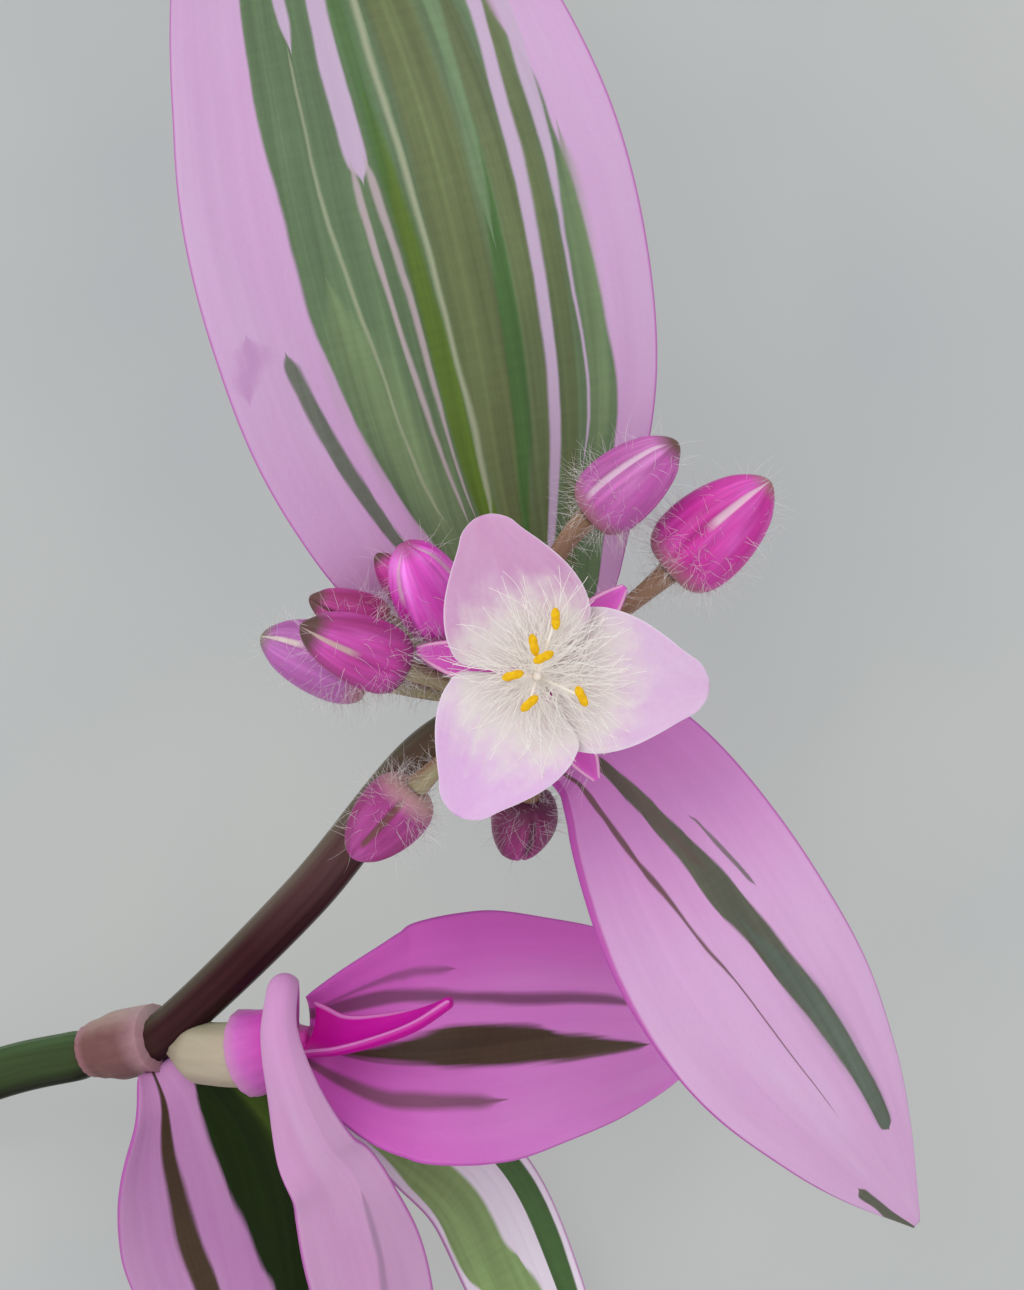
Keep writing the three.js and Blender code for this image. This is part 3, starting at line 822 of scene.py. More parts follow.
@dataclass(frozen=True)
class CalyxFinish(BladeFinish):
    """Bud: three fleshy sepals, magenta and satin, pale along the seams, and brown green at the tip.

    Fine pale streaks run from foot to tip, and each sepal is darkest along its middle: its own darker tone,
    deepened as painted shade for the bud's lower side.
    """

    roughness: float = 0.42
    flesh: float = 0.15
    width: float = 9.0  # once round the bud
    length: float = 7.0
    seam: str = "#e2c6da"
    seam_reach: Pair = (0.1, 0.95)  # share of the length over which the seam is pale
    tip: str = "#6b4a38"
    tip_from: float = 0.86
    foot: str = "#a87b72"

    KEEL: ClassVar[Pair] = (0.8, 0.7)  # how wide and how strong the dark middle is, which is partly painted shade
    SEAM_EDGE: ClassVar[Pair] = (0.978, 0.998)  # nearness at which it starts and is full
    SEAM_FADE: ClassVar[Pair] = (0.06, 0.04)  # how softly it starts and ends along the bud
    TIP_FADE: ClassVar[float] = 0.12
    FOOT_REACH: ClassVar[float] = 0.2

    def colour(self, tree: Tree) -> Socket:
        """Adds streaked magenta, the pale seams, the tip and the foot by the stalk.

        Args:
            tree: The material's tree.

        Returns:
            The output of the colour.
        """
        across, up = blade_place(tree)
        colour = shaded(tree, self.bloom(tree, (1.1, 0.2)), self.drawn(tree, (5.0, 0.22), 3.0), 0.2)
        colour = shaded(tree, colour, self.drawn(tree, (1.3, 0.25), 2.0), 0.12)
        turn = add_node(tree, "ShaderNodeMath", {0: across, 1: 3 * math.pi}, operation="MULTIPLY")
        wave = add_node(tree, "ShaderNodeMath", {0: turn.outputs[0]}, operation="COSINE")
        nearness = add_node(tree, "ShaderNodeMath", {0: wave.outputs[0]}, operation="ABSOLUTE").outputs[0]
        # each sepal's dark middle: its own tone, deepened as painted shade
        breadth, dark = self.KEEL
        limits = {"Value": nearness, "From Max": breadth, "To Min": dark, "To Max": 0.0}
        keel = add_node(tree, "ShaderNodeMapRange", limits).outputs[0]
        colour = lay_over(tree, keel, colour, linear(self.root))
        full = self.tip_from + self.TIP_FADE
        limits = {"Value": up, "From Min": self.tip_from, "From Max": full, "To Max": 0.9}
        browned = add_node(tree, "ShaderNodeMapRange", limits).outputs[0]
        colour = lay_over(tree, browned, colour, linear(self.tip))
        near, full = self.SEAM_EDGE
        limits = {"Value": nearness, "From Min": near, "From Max": full, "To Max": 0.8}
        line = add_node(tree, "ShaderNodeMapRange", limits, interpolation_type="SMOOTHSTEP").outputs[0]
        for middle, fade, low, high in zip(self.seam_reach, self.SEAM_FADE, (0.0, 1.0), (1.0, 0.0)):
            start, stop = middle - fade, middle + fade
            limits = {"Value": up, "From Min": start, "From Max": stop, "To Min": low, "To Max": high}
            shown = add_node(tree, "ShaderNodeMapRange", limits).outputs[0]
            line = add_node(tree, "ShaderNodeMath", {0: line, 1: shown}, operation="MULTIPLY").outputs[0]
        colour = lay_over(tree, line, colour, linear(self.seam))
        limits = {"Value": up, "From Max": self.FOOT_REACH, "To Min": 0.95, "To Max": 0.0}
        near_foot = add_node(tree, "ShaderNodeMapRange", limits).outputs[0]
        return lay_over(tree, near_foot, colour, linear(self.foot))


@dataclass(frozen=True)
class StemFinish(Finish):
    """Fleshy stem: smooth skin in fine long streaks, whose colour changes along it and round it.

    It is maroon higher up; the lighter, greener left side is painted highlight and the darker right side is
    painted shade.
    """

    courses: tuple[tuple[float, str], ...] = ()  # share of the length and colour there
    left: tuple[tuple[float, str], ...] = ()  # the same on its left side, seen from its foot, painted lighter there as highlight
    # the same on its right side, painted darker there as shade
    right: tuple[tuple[float, str], ...] = ()
    streak: float = 0.2  # how much lighter and darker the streaks are

    SIDES: ClassVar[Pair] = (0.74, 0.22)  # where left (painted highlight) and right (painted shade) are on the way round
    SIDE_EDGE: ClassVar[Pair] = (0.06, 0.2)  # distances over which their colour fades
    STREAKS: ClassVar[Pair] = (26, 5)  # round the stem and along it

    def ramp(self, tree: Tree, up: Socket, courses: Sequence[tuple[float, str]]) -> Socket:
        """Adds a ramp of colours along the stem.

        Args:
            tree: The material's tree.
            up: Place along the stem.
            courses: Shares of the length and the colours there.

        Returns:
            The output of the colour.
        """
        ramp = add_node(tree, "ShaderNodeValToRGB", {0: up})
        stops = ramp.color_ramp.elements
        for share, _ in courses[2:]:
            stops.new(share)
        for stop, (share, colour) in zip(stops, courses):
            stop.position, stop.color = share, linear(colour)
        return ramp.outputs[0]

    def colour(self, tree: Tree) -> Socket:
        """Adds the colours along the stem, the painted highlight and painted shade on its sides, and the
        streaks.

        Args:
            tree: The material's tree.

        Returns:
            The output of the colour.
        """
        across, up = blade_place(tree)
        colour = self.ramp(tree, up, self.courses)
        near, far = self.SIDE_EDGE
        # left side: painted highlight; right side: painted shade
        for place, courses in zip(self.SIDES, (self.left, self.right)):
            if not courses:
                continue
            gap = gap_to(tree, across, place)
            limits = {"Value": gap, "From Min": near, "From Max": far, "To Min": 0.9, "To Max": 0.0}
            side = add_node(tree, "ShaderNodeMapRange", limits, interpolation_type="SMOOTHSTEP")
            colour = lay_over(tree, side.outputs[0], colour, self.ramp(tree, up, courses))
        return shaded(tree, colour, drawn_out(tree, self.STREAKS, 4.0), self.streak)


@dataclass(frozen=True)
class PlainFinish(Finish):
    """Tissue of one colour with soft, fine variation, such as pollen, hairs or the ovary."""

    base: str = "#ffffff"
    pale: str = "#ffffff"
    patch: float = 0.6  # size of the patches in millimetres

    def colour(self, tree: Tree) -> Socket:
        """Adds two close colours in soft patches.

        Args:
            tree: The material's tree.

        Returns:
            The output of the colour.
        """
        space = add_node(tree, "ShaderNodeTexCoord").outputs["Object"]
        noise = {"Vector": space, "Scale": 1 / (self.patch * METRES), "Detail": 3.0}
        patches = add_node(tree, "ShaderNodeTexNoise", noise).outputs["Fac"]
        limits = {"Value": patches, "From Min": 0.35, "From Max": 0.65}
        share = add_node(tree, "ShaderNodeMapRange", limits).outputs[0]
        return lay_over(tree, share, linear(self.base), linear(self.pale))


# ---- Hairs, by Geometry Nodes --------------------------------------------------------------------


@dataclass
class Coat:
    """Hairs on a surface, or tubes along strands, made by a tree of Geometry Nodes.

    The hairs stand where the mark HAIRY of their surface is above zero. Each is a bent, tapered,
    three-sided spike.
    """

    name: str
    material: bpy.types.Material
    density: float = 3.0  # hairs to a square millimetre
    length: float = 1.1
    radius: float = 0.015
    bend: float = 0.35  # how far the tip leans, as a share of the length
    lean: float = 0.6  # largest tilt in radians
    seed: int = 1

    POINT: ClassVar[float] = 0.25  # thickness at a hair's tip, as a share of that at its foot
    SIZES: ClassVar[Pair] = (0.55, 1.15)  # of the shortest and the longest hair
    SIDES: ClassVar[int] = 3
    JOINTS: ClassVar[int] = 5  # steps along a hair, so that it can bend

    def new_tree(self, inputs: Sequence[tuple[str, str]]) -> tuple[Tree, bpy.types.Node]:
        """Starts a tree with named inputs and returns it with its input node.

        Args:
            inputs: Name and type of each input after the geometry.

        Returns:
            The tree and its input node.
        """
        tree = bpy.data.node_groups.new(self.name, "GeometryNodeTree")
        tree.interface.new_socket("Geometry", in_out="INPUT", socket_type="NodeSocketGeometry")
        for name, kind in inputs:
            tree.interface.new_socket(name, in_out="INPUT", socket_type=kind)
        tree.interface.new_socket("Geometry", in_out="OUTPUT", socket_type="NodeSocketGeometry")
        return tree, add_node(tree, "NodeGroupInput")

    def hair_tree(self) -> Tree:
        """The tree that covers a surface with hairs.

        Returns:
            The tree.
        """
        sizes = [(name, "NodeSocketFloat") for name in ("Density", "Length", "Radius", "Bend", "Lean")]
        tree, given = self.new_tree([*sizes, ("Seed", "NodeSocketInt")])
        length, seed = given.outputs["Length"], given.outputs["Seed"]
        hairy = add_node(tree, "GeometryNodeInputNamedAttribute", {"Name": HAIRY}, data_type="FLOAT")
        terms = {0: hairy.outputs[0], 1: given.outputs["Density"]}
        per_area = add_node(tree, "ShaderNodeMath", terms, operation="MULTIPLY").outputs[0]
        terms = {"Mesh": given.outputs["Geometry"], "Density": per_area, "Seed": seed}
        places = add_node(tree, "GeometryNodeDistributePointsOnFaces", terms)
        terms = {0: given.outputs["Radius"], 1: length}
        foot = add_node(tree, "ShaderNodeMath", terms, operation="DIVIDE").outputs[0]
        top = add_node(tree, "ShaderNodeMath", {0: foot, 1: self.POINT}, operation="MULTIPLY").outputs[0]
        terms = {
            "Vertices": self.SIDES, "Side Segments": self.JOINTS, "Radius Top": top, "Radius Bottom": foot,
            "Depth": 1.0,
        }
        spike = add_node(tree, "GeometryNodeMeshCone", terms).outputs["Mesh"]
        at = add_node(tree, "GeometryNodeInputPosition").outputs[0]
        height = add_node(tree, "ShaderNodeSeparateXYZ", {0: at}).outputs[2]
        square = add_node(tree, "ShaderNodeMath", {0: height, 1: 2.0}, operation="POWER").outputs[0]
        terms = {0: square, 1: given.outputs["Bend"]}
        push = add_node(tree, "ShaderNodeMath", terms, operation="MULTIPLY").outputs[0]
        offset = add_node(tree, "ShaderNodeCombineXYZ", {0: push}).outputs[0]
        bent = add_node(tree, "GeometryNodeSetPosition", {"Geometry": spike, "Offset": offset}).outputs[0]
        ends = []
        for sign, turn in ((-1, 0.0), (1, 2 * math.pi)):
            terms = {0: given.outputs["Lean"], 1: sign}
            tilt = add_node(tree, "ShaderNodeMath", terms, operation="MULTIPLY").outputs[0]
            ends.append(add_node(tree, "ShaderNodeCombineXYZ", {0: tilt, 1: tilt, 2: turn}).outputs[0])
        terms = {0: ends[0], 1: ends[1], "Seed": seed}
        sway = add_node(tree, "FunctionNodeRandomValue", terms, data_type="FLOAT_VECTOR").outputs[0]
        swing = add_node(tree, "FunctionNodeEulerToRotation", {0: sway}).outputs[0]
        terms = {0: places.outputs["Rotation"], 1: swing}
        stance = add_node(tree, "FunctionNodeRotateRotation", terms, rotation_space="LOCAL").outputs[0]
        least, most = self.SIZES
        share = add_node(tree, "FunctionNodeRandomValue", {2: least, 3: most, "Seed": seed}).outputs[1]
        size = add_node(tree, "ShaderNodeMath", {0: share, 1: length}, operation="MULTIPLY").outputs[0]
        terms = {"Points": places.outputs["Points"], "Instance": bent, "Rotation": stance, "Scale": size}
        hairs = add_node(tree, "GeometryNodeInstanceOnPoints", terms)
        return self.finish_tree(tree, hairs.outputs[0])

    def strand_tree(self) -> Tree:
        """The tree that makes a thin tube along each strand of edges.

        Returns:
            The tree.
        """
        tree, given = self.new_tree([("Radius", "NodeSocketFloat")])
        curves = add_node(tree, "GeometryNodeMeshToCurve", {"Mesh": given.outputs["Geometry"]}).outputs[0]
        terms = {"Resolution": 4, "Radius": given.outputs["Radius"]}
        section = add_node(tree, "GeometryNodeCurvePrimitiveCircle", terms).outputs[0]
        terms = {"Curve": curves, "Profile Curve": section, "Fill Caps": True}
        tube = add_node(tree, "GeometryNodeCurveToMesh", terms)
        return self.finish_tree(tree, tube.outputs[0])

    def finish_tree(self, tree: Tree, shape: Socket) -> Tree:
        """Makes the shape real, gives it the material and ends the tree.

        Args:
            tree: The tree.
            shape: What it has made.

        Returns:
            The same tree.
        """
        real = add_node(tree, "GeometryNodeRealizeInstances", {"Geometry": shape}).outputs[0]
        dressed = add_node(tree, "GeometryNodeSetMaterial", {"Geometry": real, "Material": self.material})
        add_node(tree, "NodeGroupOutput", {"Geometry": dressed.outputs[0]})
        return tree

    def grow(self, mesh: bpy.types.Mesh, tree: Tree) -> bpy.types.Object:
        """Runs the tree on a mesh and returns the result as a plain piece of the plant.

        Args:
            mesh: What the tree starts from.
            tree: The tree.

        Returns:
            The object.
        """
        carrier = put_in_scene(self.name, mesh)
        modifier = carrier.modifiers.new(self.name, "NODES")
        modifier.node_group = tree
        values = {
            "Density": self.density / METRES**2, "Length": self.length * METRES,
            "Radius": self.radius * METRES, "Bend": self.bend, "Lean": self.lean, "Seed": self.seed,
        }
        for item in tree.interface.items_tree:
            if item.in_out == "INPUT" and item.name in values:
                modifier[item.identifier] = values[item.name]
        evaluated = carrier.evaluated_get(bpy.context.evaluated_depsgraph_get())
        plain = bpy.data.meshes.new_from_object(evaluated)
        carrier.modifiers.remove(modifier)
        carrier.data = plain
        plain.shade_smooth()
        declare(carrier)
        return carrier

    def cover(self, piece: bpy.types.Object, slot: str) -> bpy.types.Object:
        """Covers a piece with hairs."""
        return self.grow(piece.data.copy(), self.hair_tree())

    def thicken(self, strands: Sequence[Array], slot: str) -> bpy.types.Object:
        """Makes tubes along strands of points in millimetres.

        Args:
            strands: Points along each strand.
            slot: Not used.

        Returns:
            The object.
        """
        mesh = bpy.data.meshes.new(self.name)
        starts = np.cumsum([0] + [len(strand) for strand in strands])
        numbers = [int(s + i) for s, strand in zip(starts, strands) for i in range(len(strand) - 1)]
        edges = [(number, number + 1) for number in numbers]
        mesh.from_pydata((np.vstack(strands) - ORIGIN) * METRES, edges, [])
        return self.grow(mesh, self.strand_tree())


# ---- Sub-assemblies ------------------------------------------------------------------------------


@dataclass
class Leaf:
    """One leaf: its blade and its finish."""

    node: str
    slot: str
    blade: Blade
    finish: LeafFinish

    def build(self) -> bpy.types.Object:
        """Makes the leaf's piece."""
        skin = self.finish.material()
        return make_piece(self.node, self.blade.surface(), skin, [self.node])


@dataclass
class Foliage:
    """The seven leaves of the cutting."""

    leaves: list[Leaf]

    def build(self) -> None:
        """Makes every leaf."""
        for leaf in self.leaves:
            leaf.build()


@dataclass
class StemWork:
    """Main stem, side shoot and the two closed leaf sheaths. Stations are points with a radius."""

    main: Sequence[tuple[Point, float]] = (
        ((-60.5, -37.5, 1.6), 1.65),
        ((-51.0, -34.7, 1.6), 1.65),
        ((-42.5, -31.7, 3.0), 1.65),
        ((-33.8, -28.3, 5.8), 1.65),
        ((-28.6, -26.9, 8.4), 1.62),
        ((-27.3, -26.5, 9.1), 1.45),
        ((-26.2, -26.1, 9.8), 1.25),
        ((-22.7, -25.2, 12.0), 1.4),
        ((-13.1, -15.9, 18.0), 1.5),
        ((-5.8, -7.0, 23.6), 1.38),
        ((-0.2, -3.5, 26.2), 1.3),
    )
    shoot: Sequence[tuple[Point, float]] = (
        ((-22.2, -25.7, 11.9), 0.7),
        ((-19.8, -26.1, 13.4), 2.0),
        ((-17.0, -26.0, 14.9), 2.1),
        ((-14.6, -25.2, 16.2), 1.5),
        ((-12.6, -24.8, 17.2), 0.8),
    )
    sheath: Sequence[tuple[Point, float]] = (
        ((-27.5, -26.5, 9.0), 1.7),
        ((-26.6, -26.25, 9.5), 1.95),
        ((-25.2, -25.9, 10.4), 2.25),
        ((-24.0, -25.55, 11.2), 2.2),
        ((-22.9, -25.3, 11.9), 2.2),
    )
    cuff: tuple[Point, Point] = ((-16.7, -26.0, 15.0), (-14.2, -25.1, 16.4))  # ends of the shoot's sheath
    sheath_wall: float = 0.5
    rib_height: float = 0.03  # fine ribs along the skin
    lip: float = 0.5  # how far a sheath draws in at its mouth, as a share of its radius
    mouth: float = 0.03  # share of a sheath's length over which it does
    sides: int = 60

    def tube(
        self,
        stations: Sequence[tuple[Point, float]],
        rings: int,
        extra: float = 0.0,
        flare: float = 0.0,
        ends: tuple[Point, Point] | None = None,
        ribs: int = 0,
    ) -> Surface:
        """A round piece through stations.

        Args:
            stations: Centre points, each with a radius.
            rings: Steps along it.
            extra: How much thicker it is than the stations say.
            flare: How much wider it grows towards its end.
            ends: Where it starts and ends, if not at the first and last station.
            ribs: Number of fine ribs round it.

        Returns:
            The closed surface.
        """
        course = Course([point for point, _ in stations])
        shares = np.array([course.share_of(point) for point, _ in stations])
        radii = np.array([radius for _, radius in stations])
        reach = (course.share_of(ends[0]), course.share_of(ends[1])) if ends else (0.0, 1.0)

        def radius(share: Array, angle: Array) -> Array:
            """Radius at a share of the length and an angle."""
            t = reach[0] + (reach[1] - reach[0]) * share
            after = np.clip(np.searchsorted(shares, t), 1, len(shares) - 1)
            local = smoothstep((t - shares[after - 1]) / (shares[after] - shares[after - 1]))
            body = radii[after - 1] + (radii[after] - radii[after - 1]) * local
            drawn_in = self.lip * smoothstep((share - 1 + self.mouth) / self.mouth) if ends else 0.0
            return (body + extra + flare * share) * (1 - drawn_in) + self.rib_height * np.cos(ribs * angle)

        return ring_surface(course, radius, rings, self.sides, reach=reach)

    def build(self, finishes: Mapping[str, Finish]) -> None:
        """Makes the stem, the side shoot and the sheaths.

        Args:
            finishes: The plant's finishes by name.
        """
        wall = GAP + self.sheath_wall
        for name, finish, slot, node, tube in (
            ("main_stem", "stem", "stem", "stem", self.tube(self.main, 260, ribs=11)),
            ("side_shoot", "shoot", "stem", "stem", self.tube(self.shoot, 60, ribs=9)),
            ("node_sheath", "sheath", "leaf_pink", "leaf_node", self.tube(self.sheath, 40, ribs=18)),
            ("shoot_sheath", "shoot_sheath", "leaf_pink", "leaf_shoot_front",
             self.tube(self.shoot, 30, wall, flare=0.1, ends=self.cuff, ribs=16)),
        ):
            make_piece(name, tube, finishes[finish].material(), [node])


@dataclass
class Bud:
    """A closed bud: base and tip of its calyx, its widest radius and its stalk's bow."""

    base: Point
    tip: Point
    radius: float
    bow: Point
    roll: float = 0.0  # turn of the seams about the bud's axis, in radians

    WIDEST: ClassVar[float] = 0.42  # share of the length at which it is widest
    SWELL: ClassVar[float] = 0.65  # how slowly it widens from its foot
    NARROWING: ClassVar[float] = 0.9  # how slowly it draws in to its tip
    CORE: ClassVar[float] = 0.16  # radius that is left at the tip
    BARE: ClassVar[float] = 0.88  # share of the hairs that the outer half lacks

    def surface(self, stalk_radius: float) -> Surface:
        """Three sepals that bulge between narrow, lipped seams and draw in to the tip.

        Args:
            stalk_radius: Radius at its foot.

        Returns:
            The closed surface, with its hairs marked.
        """
        course = Course([self.base, (np.asarray(self.base) + np.asarray(self.tip)) / 2, self.tip])

        def radius(share: Array, angle: Array) -> Array:
            """Radius at a share of the length and an angle."""
            rise = (np.clip(share, 0, 1) / self.WIDEST) ** (self.SWELL * self.WIDEST)
            rest = 1 - self.WIDEST
            fall = (np.clip(1 - share, 0, 1) / rest) ** (self.NARROWING * rest)
            fall = fall * (1 - 0.1 * smoothstep((share - 0.8) / 0.2))  # a little slimmer at the very tip
            on_seam = np.abs(np.cos(1.5 * (angle + self.roll)))
            hollow, seam = 0.05 * on_seam**6, 0.09 * on_seam**90
            cleft = 0.3 * on_seam**8 * smoothstep((share - 0.84) / 0.14)  # the sepals part at the tip
            lips = 0.035 * np.exp(-(((1 - on_seam) - 0.045) / 0.02) ** 2)
            keel = 0.05 * (1 - on_seam) ** 3
            core = stalk_radius + (self.CORE - stalk_radius) * share
            return np.hypot(self.radius * rise * fall * (1 - (hollow + seam + cleft) + lips + keel), core)

        surface = ring_surface(course, radius, 70, 96)
        surface.corners[:, 0] += self.roll / (2 * np.pi)
        surface.marks[HAIRY] = 1 - self.BARE * smoothstep((surface.marks["share"] - 0.15) / 0.35)
        return surface


@dataclass
class BudCluster:
    """Nine closed buds on stalks from the knob at the stem's end."""

    buds: dict[str, Bud]
    head: Point = (0.8, -2.7, 28.2)
    head_radius: float = 1.75
    stalk_radius: float = 0.5
    end_radius: float = 0.75
    short: float = 0.1  # how far a stalk ends before the foot of its bud
    ribs: int = 6
    rib_height: float = 0.02

    def stalk(self, end: Array, inward: Array, bow: Point) -> Surface:
        """A stalk from the head that meets a bud or the flower square to its axis.

        Args:
            end: The bud's foot.
            inward: Direction from the bud back along its axis.
            bow: How far the stalk bows out.

        Returns:
            The closed surface.
        """
        head = np.asarray(self.head)
        stop = end + inward * self.short
        reach = np.linalg.norm(stop - head) / 3
        controls = [head, head + (stop - head) / 3 + np.asarray(bow), stop + inward * reach, stop]
        t = np.linspace(0, 1, 24)[:, None]
        weights = [(1 - t) ** 3, 3 * t * (1 - t) ** 2, 3 * t * t * (1 - t), t**3]
        course = Course(sum(weight * control for weight, control in zip(weights, controls)))

        def radius(share: Array, angle: Array) -> Array:
            """Radius at a share of the length and an angle."""
            ribs = self.rib_height * np.cos(self.ribs * angle)
            return self.stalk_radius + (self.end_radius - self.stalk_radius) * share**6 + ribs

        return ring_surface(course, radius, 50, 20, (0.3, 0.9, 0.3))

    def knob(self) -> Surface:
        """The knob that the stalks grow from.

        Returns:
            The closed surface.
        """
        head, radius = np.asarray(self.head), self.head_radius
        low, high = head - (0, 0, radius), head + (0, 0, radius)
        course = Course([low, head, high])

        def round_body(share: Array, angle: Array) -> Array:
            """Radius of a ball."""
            return np.maximum(radius * np.sin(np.pi * share), 0.05) * (1 + 0 * angle)

        return ring_surface(course, round_body, 24, 32, (0, 1, 0))

    def build(self, finishes: Mapping[str, Finish], coats: Mapping[str, Coat]) -> None:
        """Makes the stalks, the buds and their hairs.

        Args:
            finishes: The plant's finishes by name.
            coats: The coats of hairs by name.
        """
        parts = [self.knob()]
        for bud in self.buds.values():
            base = np.asarray(bud.base)
            parts.append(self.stalk(base, unit(base - np.asarray(bud.tip)), bud.bow))
        parts.append(self.stalk(np.asarray(FLOWER), np.array([0, 0, -1.0]), (0, 0, 0)))
        stalks = Surface.joined(parts)
        stalks.marks[HAIRY] = np.ones(len(stalks.points))
        piece = make_piece("flower_stalks", stalks, finishes["stalk"].material(), ["flower_stalks"])
        coats["stalks"].cover(piece, "stalk")
        for name, bud in self.buds.items():
            surface = bud.surface(self.end_radius)
            piece = make_piece(name, surface, finishes[name].material(), [name])
            coats[name].cover(piece, "calyx")


@dataclass
class OpenFlower:
    """The open flower: petals, sepals, ovary, and six stamens with bearded filaments.

    A petal or sepal has its name, its direction in degrees, its length, and the heights of its foot
    over the flower's middle and of its tip over its foot.
    """

    petals: Sequence[tuple[str, float, float, float, float]] = (
        ("petal_upper", 109, 9.8, 1.95, 1.5),
        ("petal_right", -4, 10.0, 0.4, 2.2),
        ("petal_lower", 240, 9.3, 1.2, 1.9),
    )
    sepals: Sequence[tuple[str, float, float, float, float]] = (
        ("sepal_right", 45, 7.4, -0.9, -0.7),
        ("sepal_lower", -60, 7.1, -0.9, -0.7),
        ("sepal_left", 168, 7.3, -0.9, -0.5),
    )
    petal_start: float = 1.05
    sepal_start: float = 1.2
    petal_widths: Sequence[float] = (2.0, 3.9, 4.3, 4.15, 3.65, 2.85, 1.9, 1.2)
    sepal_widths: Sequence[float] = (0.8, 1.35, 1.5, 1.3, 0.85, 0.2)
    anthers: Sequence[tuple[float, float, float, float]] = (  # place, height and direction of each
        (1.05, 3.3, 4.4, 92),
        (-0.2, 1.8, 4.6, 102),
        (0.35, 1.1, 5.1, 26),
        (-1.4, 0.05, 4.4, 15),
        (-0.45, -1.55, 4.1, 42),
        (2.55, -1.15, 3.8, -64),
    )
    anther_length: float = 1.3
    anther_width: float = 0.6
    anther_thick: float = 0.5
    filament_radius: float = 0.09
    filament_rise: float = 0.15  # share of its way out after which a filament turns up
    hairs_to_a_stamen: int = 110
    hair_roots: Pair = (0.08, 0.75)  # share of the filament between which hairs grow
    hair_spread: float = 0.9  # how far they fan out, in radians
    hair_lengths: Pair = (1.8, 5.6)
    hair_lifts: Pair = (-0.15, 0.5)  # how steeply they start, as a share of the length
    hair_droop: float = 0.25  # how steeply they end downwards
    hair_curls: Pair = (0.1, 0.5)
    hair_joints: int = 15
    seed: int = 7
    style_height: float = 3.2
    style_radius: float = 0.13
    stigma_flare: float = 0.09  # how much wider the style is at its end
    ovary_radius: float = 0.8
    ovary_lobes: float = 0.12
    ovary_share: float = 0.66  # of the style's height

    def spine(self, start: float, points: float, length: float, foot: float, rise: float) -> list[Point]:
        """Spine of a blade that springs outwards from the flower's middle.

        Args:
            start: Its foot's distance from the flower's axis.
            points: Direction in degrees.
            length: Its tip's distance from the axis.
            foot: Height of its foot over the flower's middle.
            rise: Height of its tip over its foot.

        Returns:
            The points of the spine.
        """
        way = heading(points)
        stations = ((start, 0), (0.4 * length, 0.62 * rise), (0.75 * length, 0.95 * rise), (length, rise))
        base = np.asarray(FLOWER) + (0, 0, foot)
        return [base + way * distance + np.array([0, 0, height]) for distance, height in stations]

    def build(self, finishes: Mapping[str, Finish], coats: Mapping[str, Coat]) -> None:
        """Makes petals, sepals, ovary and stamens.

        Args:
            finishes: The plant's finishes by name.
            coats: The coats of hairs by name.
        """
        level = [(0, 0, 1), (0, 0, 1)]
        for name, *shape in self.petals:
            blade = Blade(
                self.spine(self.petal_start, *shape), self.petal_widths, level, curl=[0.2, 0.3, 0.3],
                ripple=0.15, waves=1.5, thick=0.3, fluting=0.01, ribs=5, round_from=0.9, rows=110, columns=60,
            )
            make_piece(name, blade.surface(), finishes[name].material(), [name])
        skin = finishes["sepal"].material()
        for name, *shape in self.sepals:
            blade = Blade(
                self.spine(self.sepal_start, *shape), self.sepal_widths, level, curl=[1.1, 1.1, 1.1, 0.7],
                thick=0.5, rows=70, columns=36,
            )
            surface = blade.surface()
            surface.marks[HAIRY] = 0.25 + 0.75 * surface.marks["underside"]
            coats["sepals"].cover(make_piece(name, surface, skin, [name]), "calyx")
        self.build_stamens(finishes, coats)

    def build_stamens(self, finishes: Mapping[str, Finish], coats: Mapping[str, Coat]) -> None:
        """Makes the ovary with its style, the filaments, the anthers and the beard of white hairs.

        Args:
            finishes: The plant's finishes by name.
            coats: The coats of hairs by name.
        """
        foot = np.asarray(FLOWER)
        parts, strands = [self.ovary()], []
        draw = np.random.default_rng(self.seed)
        pollen = finishes["pollen"].material()
        for number, (x, y, height, points) in enumerate(self.anthers, 1):
            place = foot + (x, y, height)
            stop = place - (0, 0, self.anther_thick / 2 - 0.1)
            root = foot + (0, 0, 0.5)
            bend = root + (stop - root) * self.filament_rise
            bend[2] = stop[2]
            t = np.linspace(0, 1, 20)[:, None]
            course = Course((1 - t) ** 2 * root + 2 * t * (1 - t) * bend + t * t * stop)
            parts.append(ring_surface(course, self.thread, 24, 10, (0.2, 1, 0)))
            name = f"anther_{number}"
            make_piece(name, self.anther(place, points), pollen, [name])
            strands += self.beard(course, draw)
        skin = finishes["ovary"].material()
        name = "flower_centre"
        centre = make_piece(name, Surface.joined(parts), skin, [name])
        LOG.info("%s carries %d strands", centre.name, len(strands))
        coats["beard"].thicken(strands, "flower_centre")

    def thread(self, share: Array, angle: Array) -> Array:
        """Radius of a filament, the same all along and all round it."""
        return self.filament_radius + 0 * share * angle

    def ovary(self) -> Surface:
        """Three-lobed ovary that draws in to a short style.

        Returns:
            The closed surface.
        """
        foot = np.asarray(FLOWER)
        course = Course([foot + (0, 0, share * self.style_height) for share in (0, 0.5, 1)])

        def radius(share: Array, angle: Array) -> Array:
            """Radius at a share of the length and an angle."""
            lobes = self.ovary_radius * (1 + self.ovary_lobes * np.cos(3 * angle))
            dome = lobes * np.sqrt(np.clip(1 - (share / self.ovary_share) ** 2, 0, 1))
            style = self.style_radius + self.stigma_flare * smoothstep((share - 0.88) / 0.08)
            return np.maximum(dome, style * np.sqrt(np.clip((1 - share) / 0.02, 0, 1)))

        return ring_surface(course, radius, 60, 36, (0, 1, 0))

    def anther(self, place: Array, points: float) -> Surface:
        """Two pollen sacs side by side in the shape of a bean.

        Args:
            place: Its middle.
            points: Direction in degrees.

        Returns:
            The closed surface.
        """
        half = heading(points) * self.anther_length / 2
        course = Course([place - half, place, place + half])

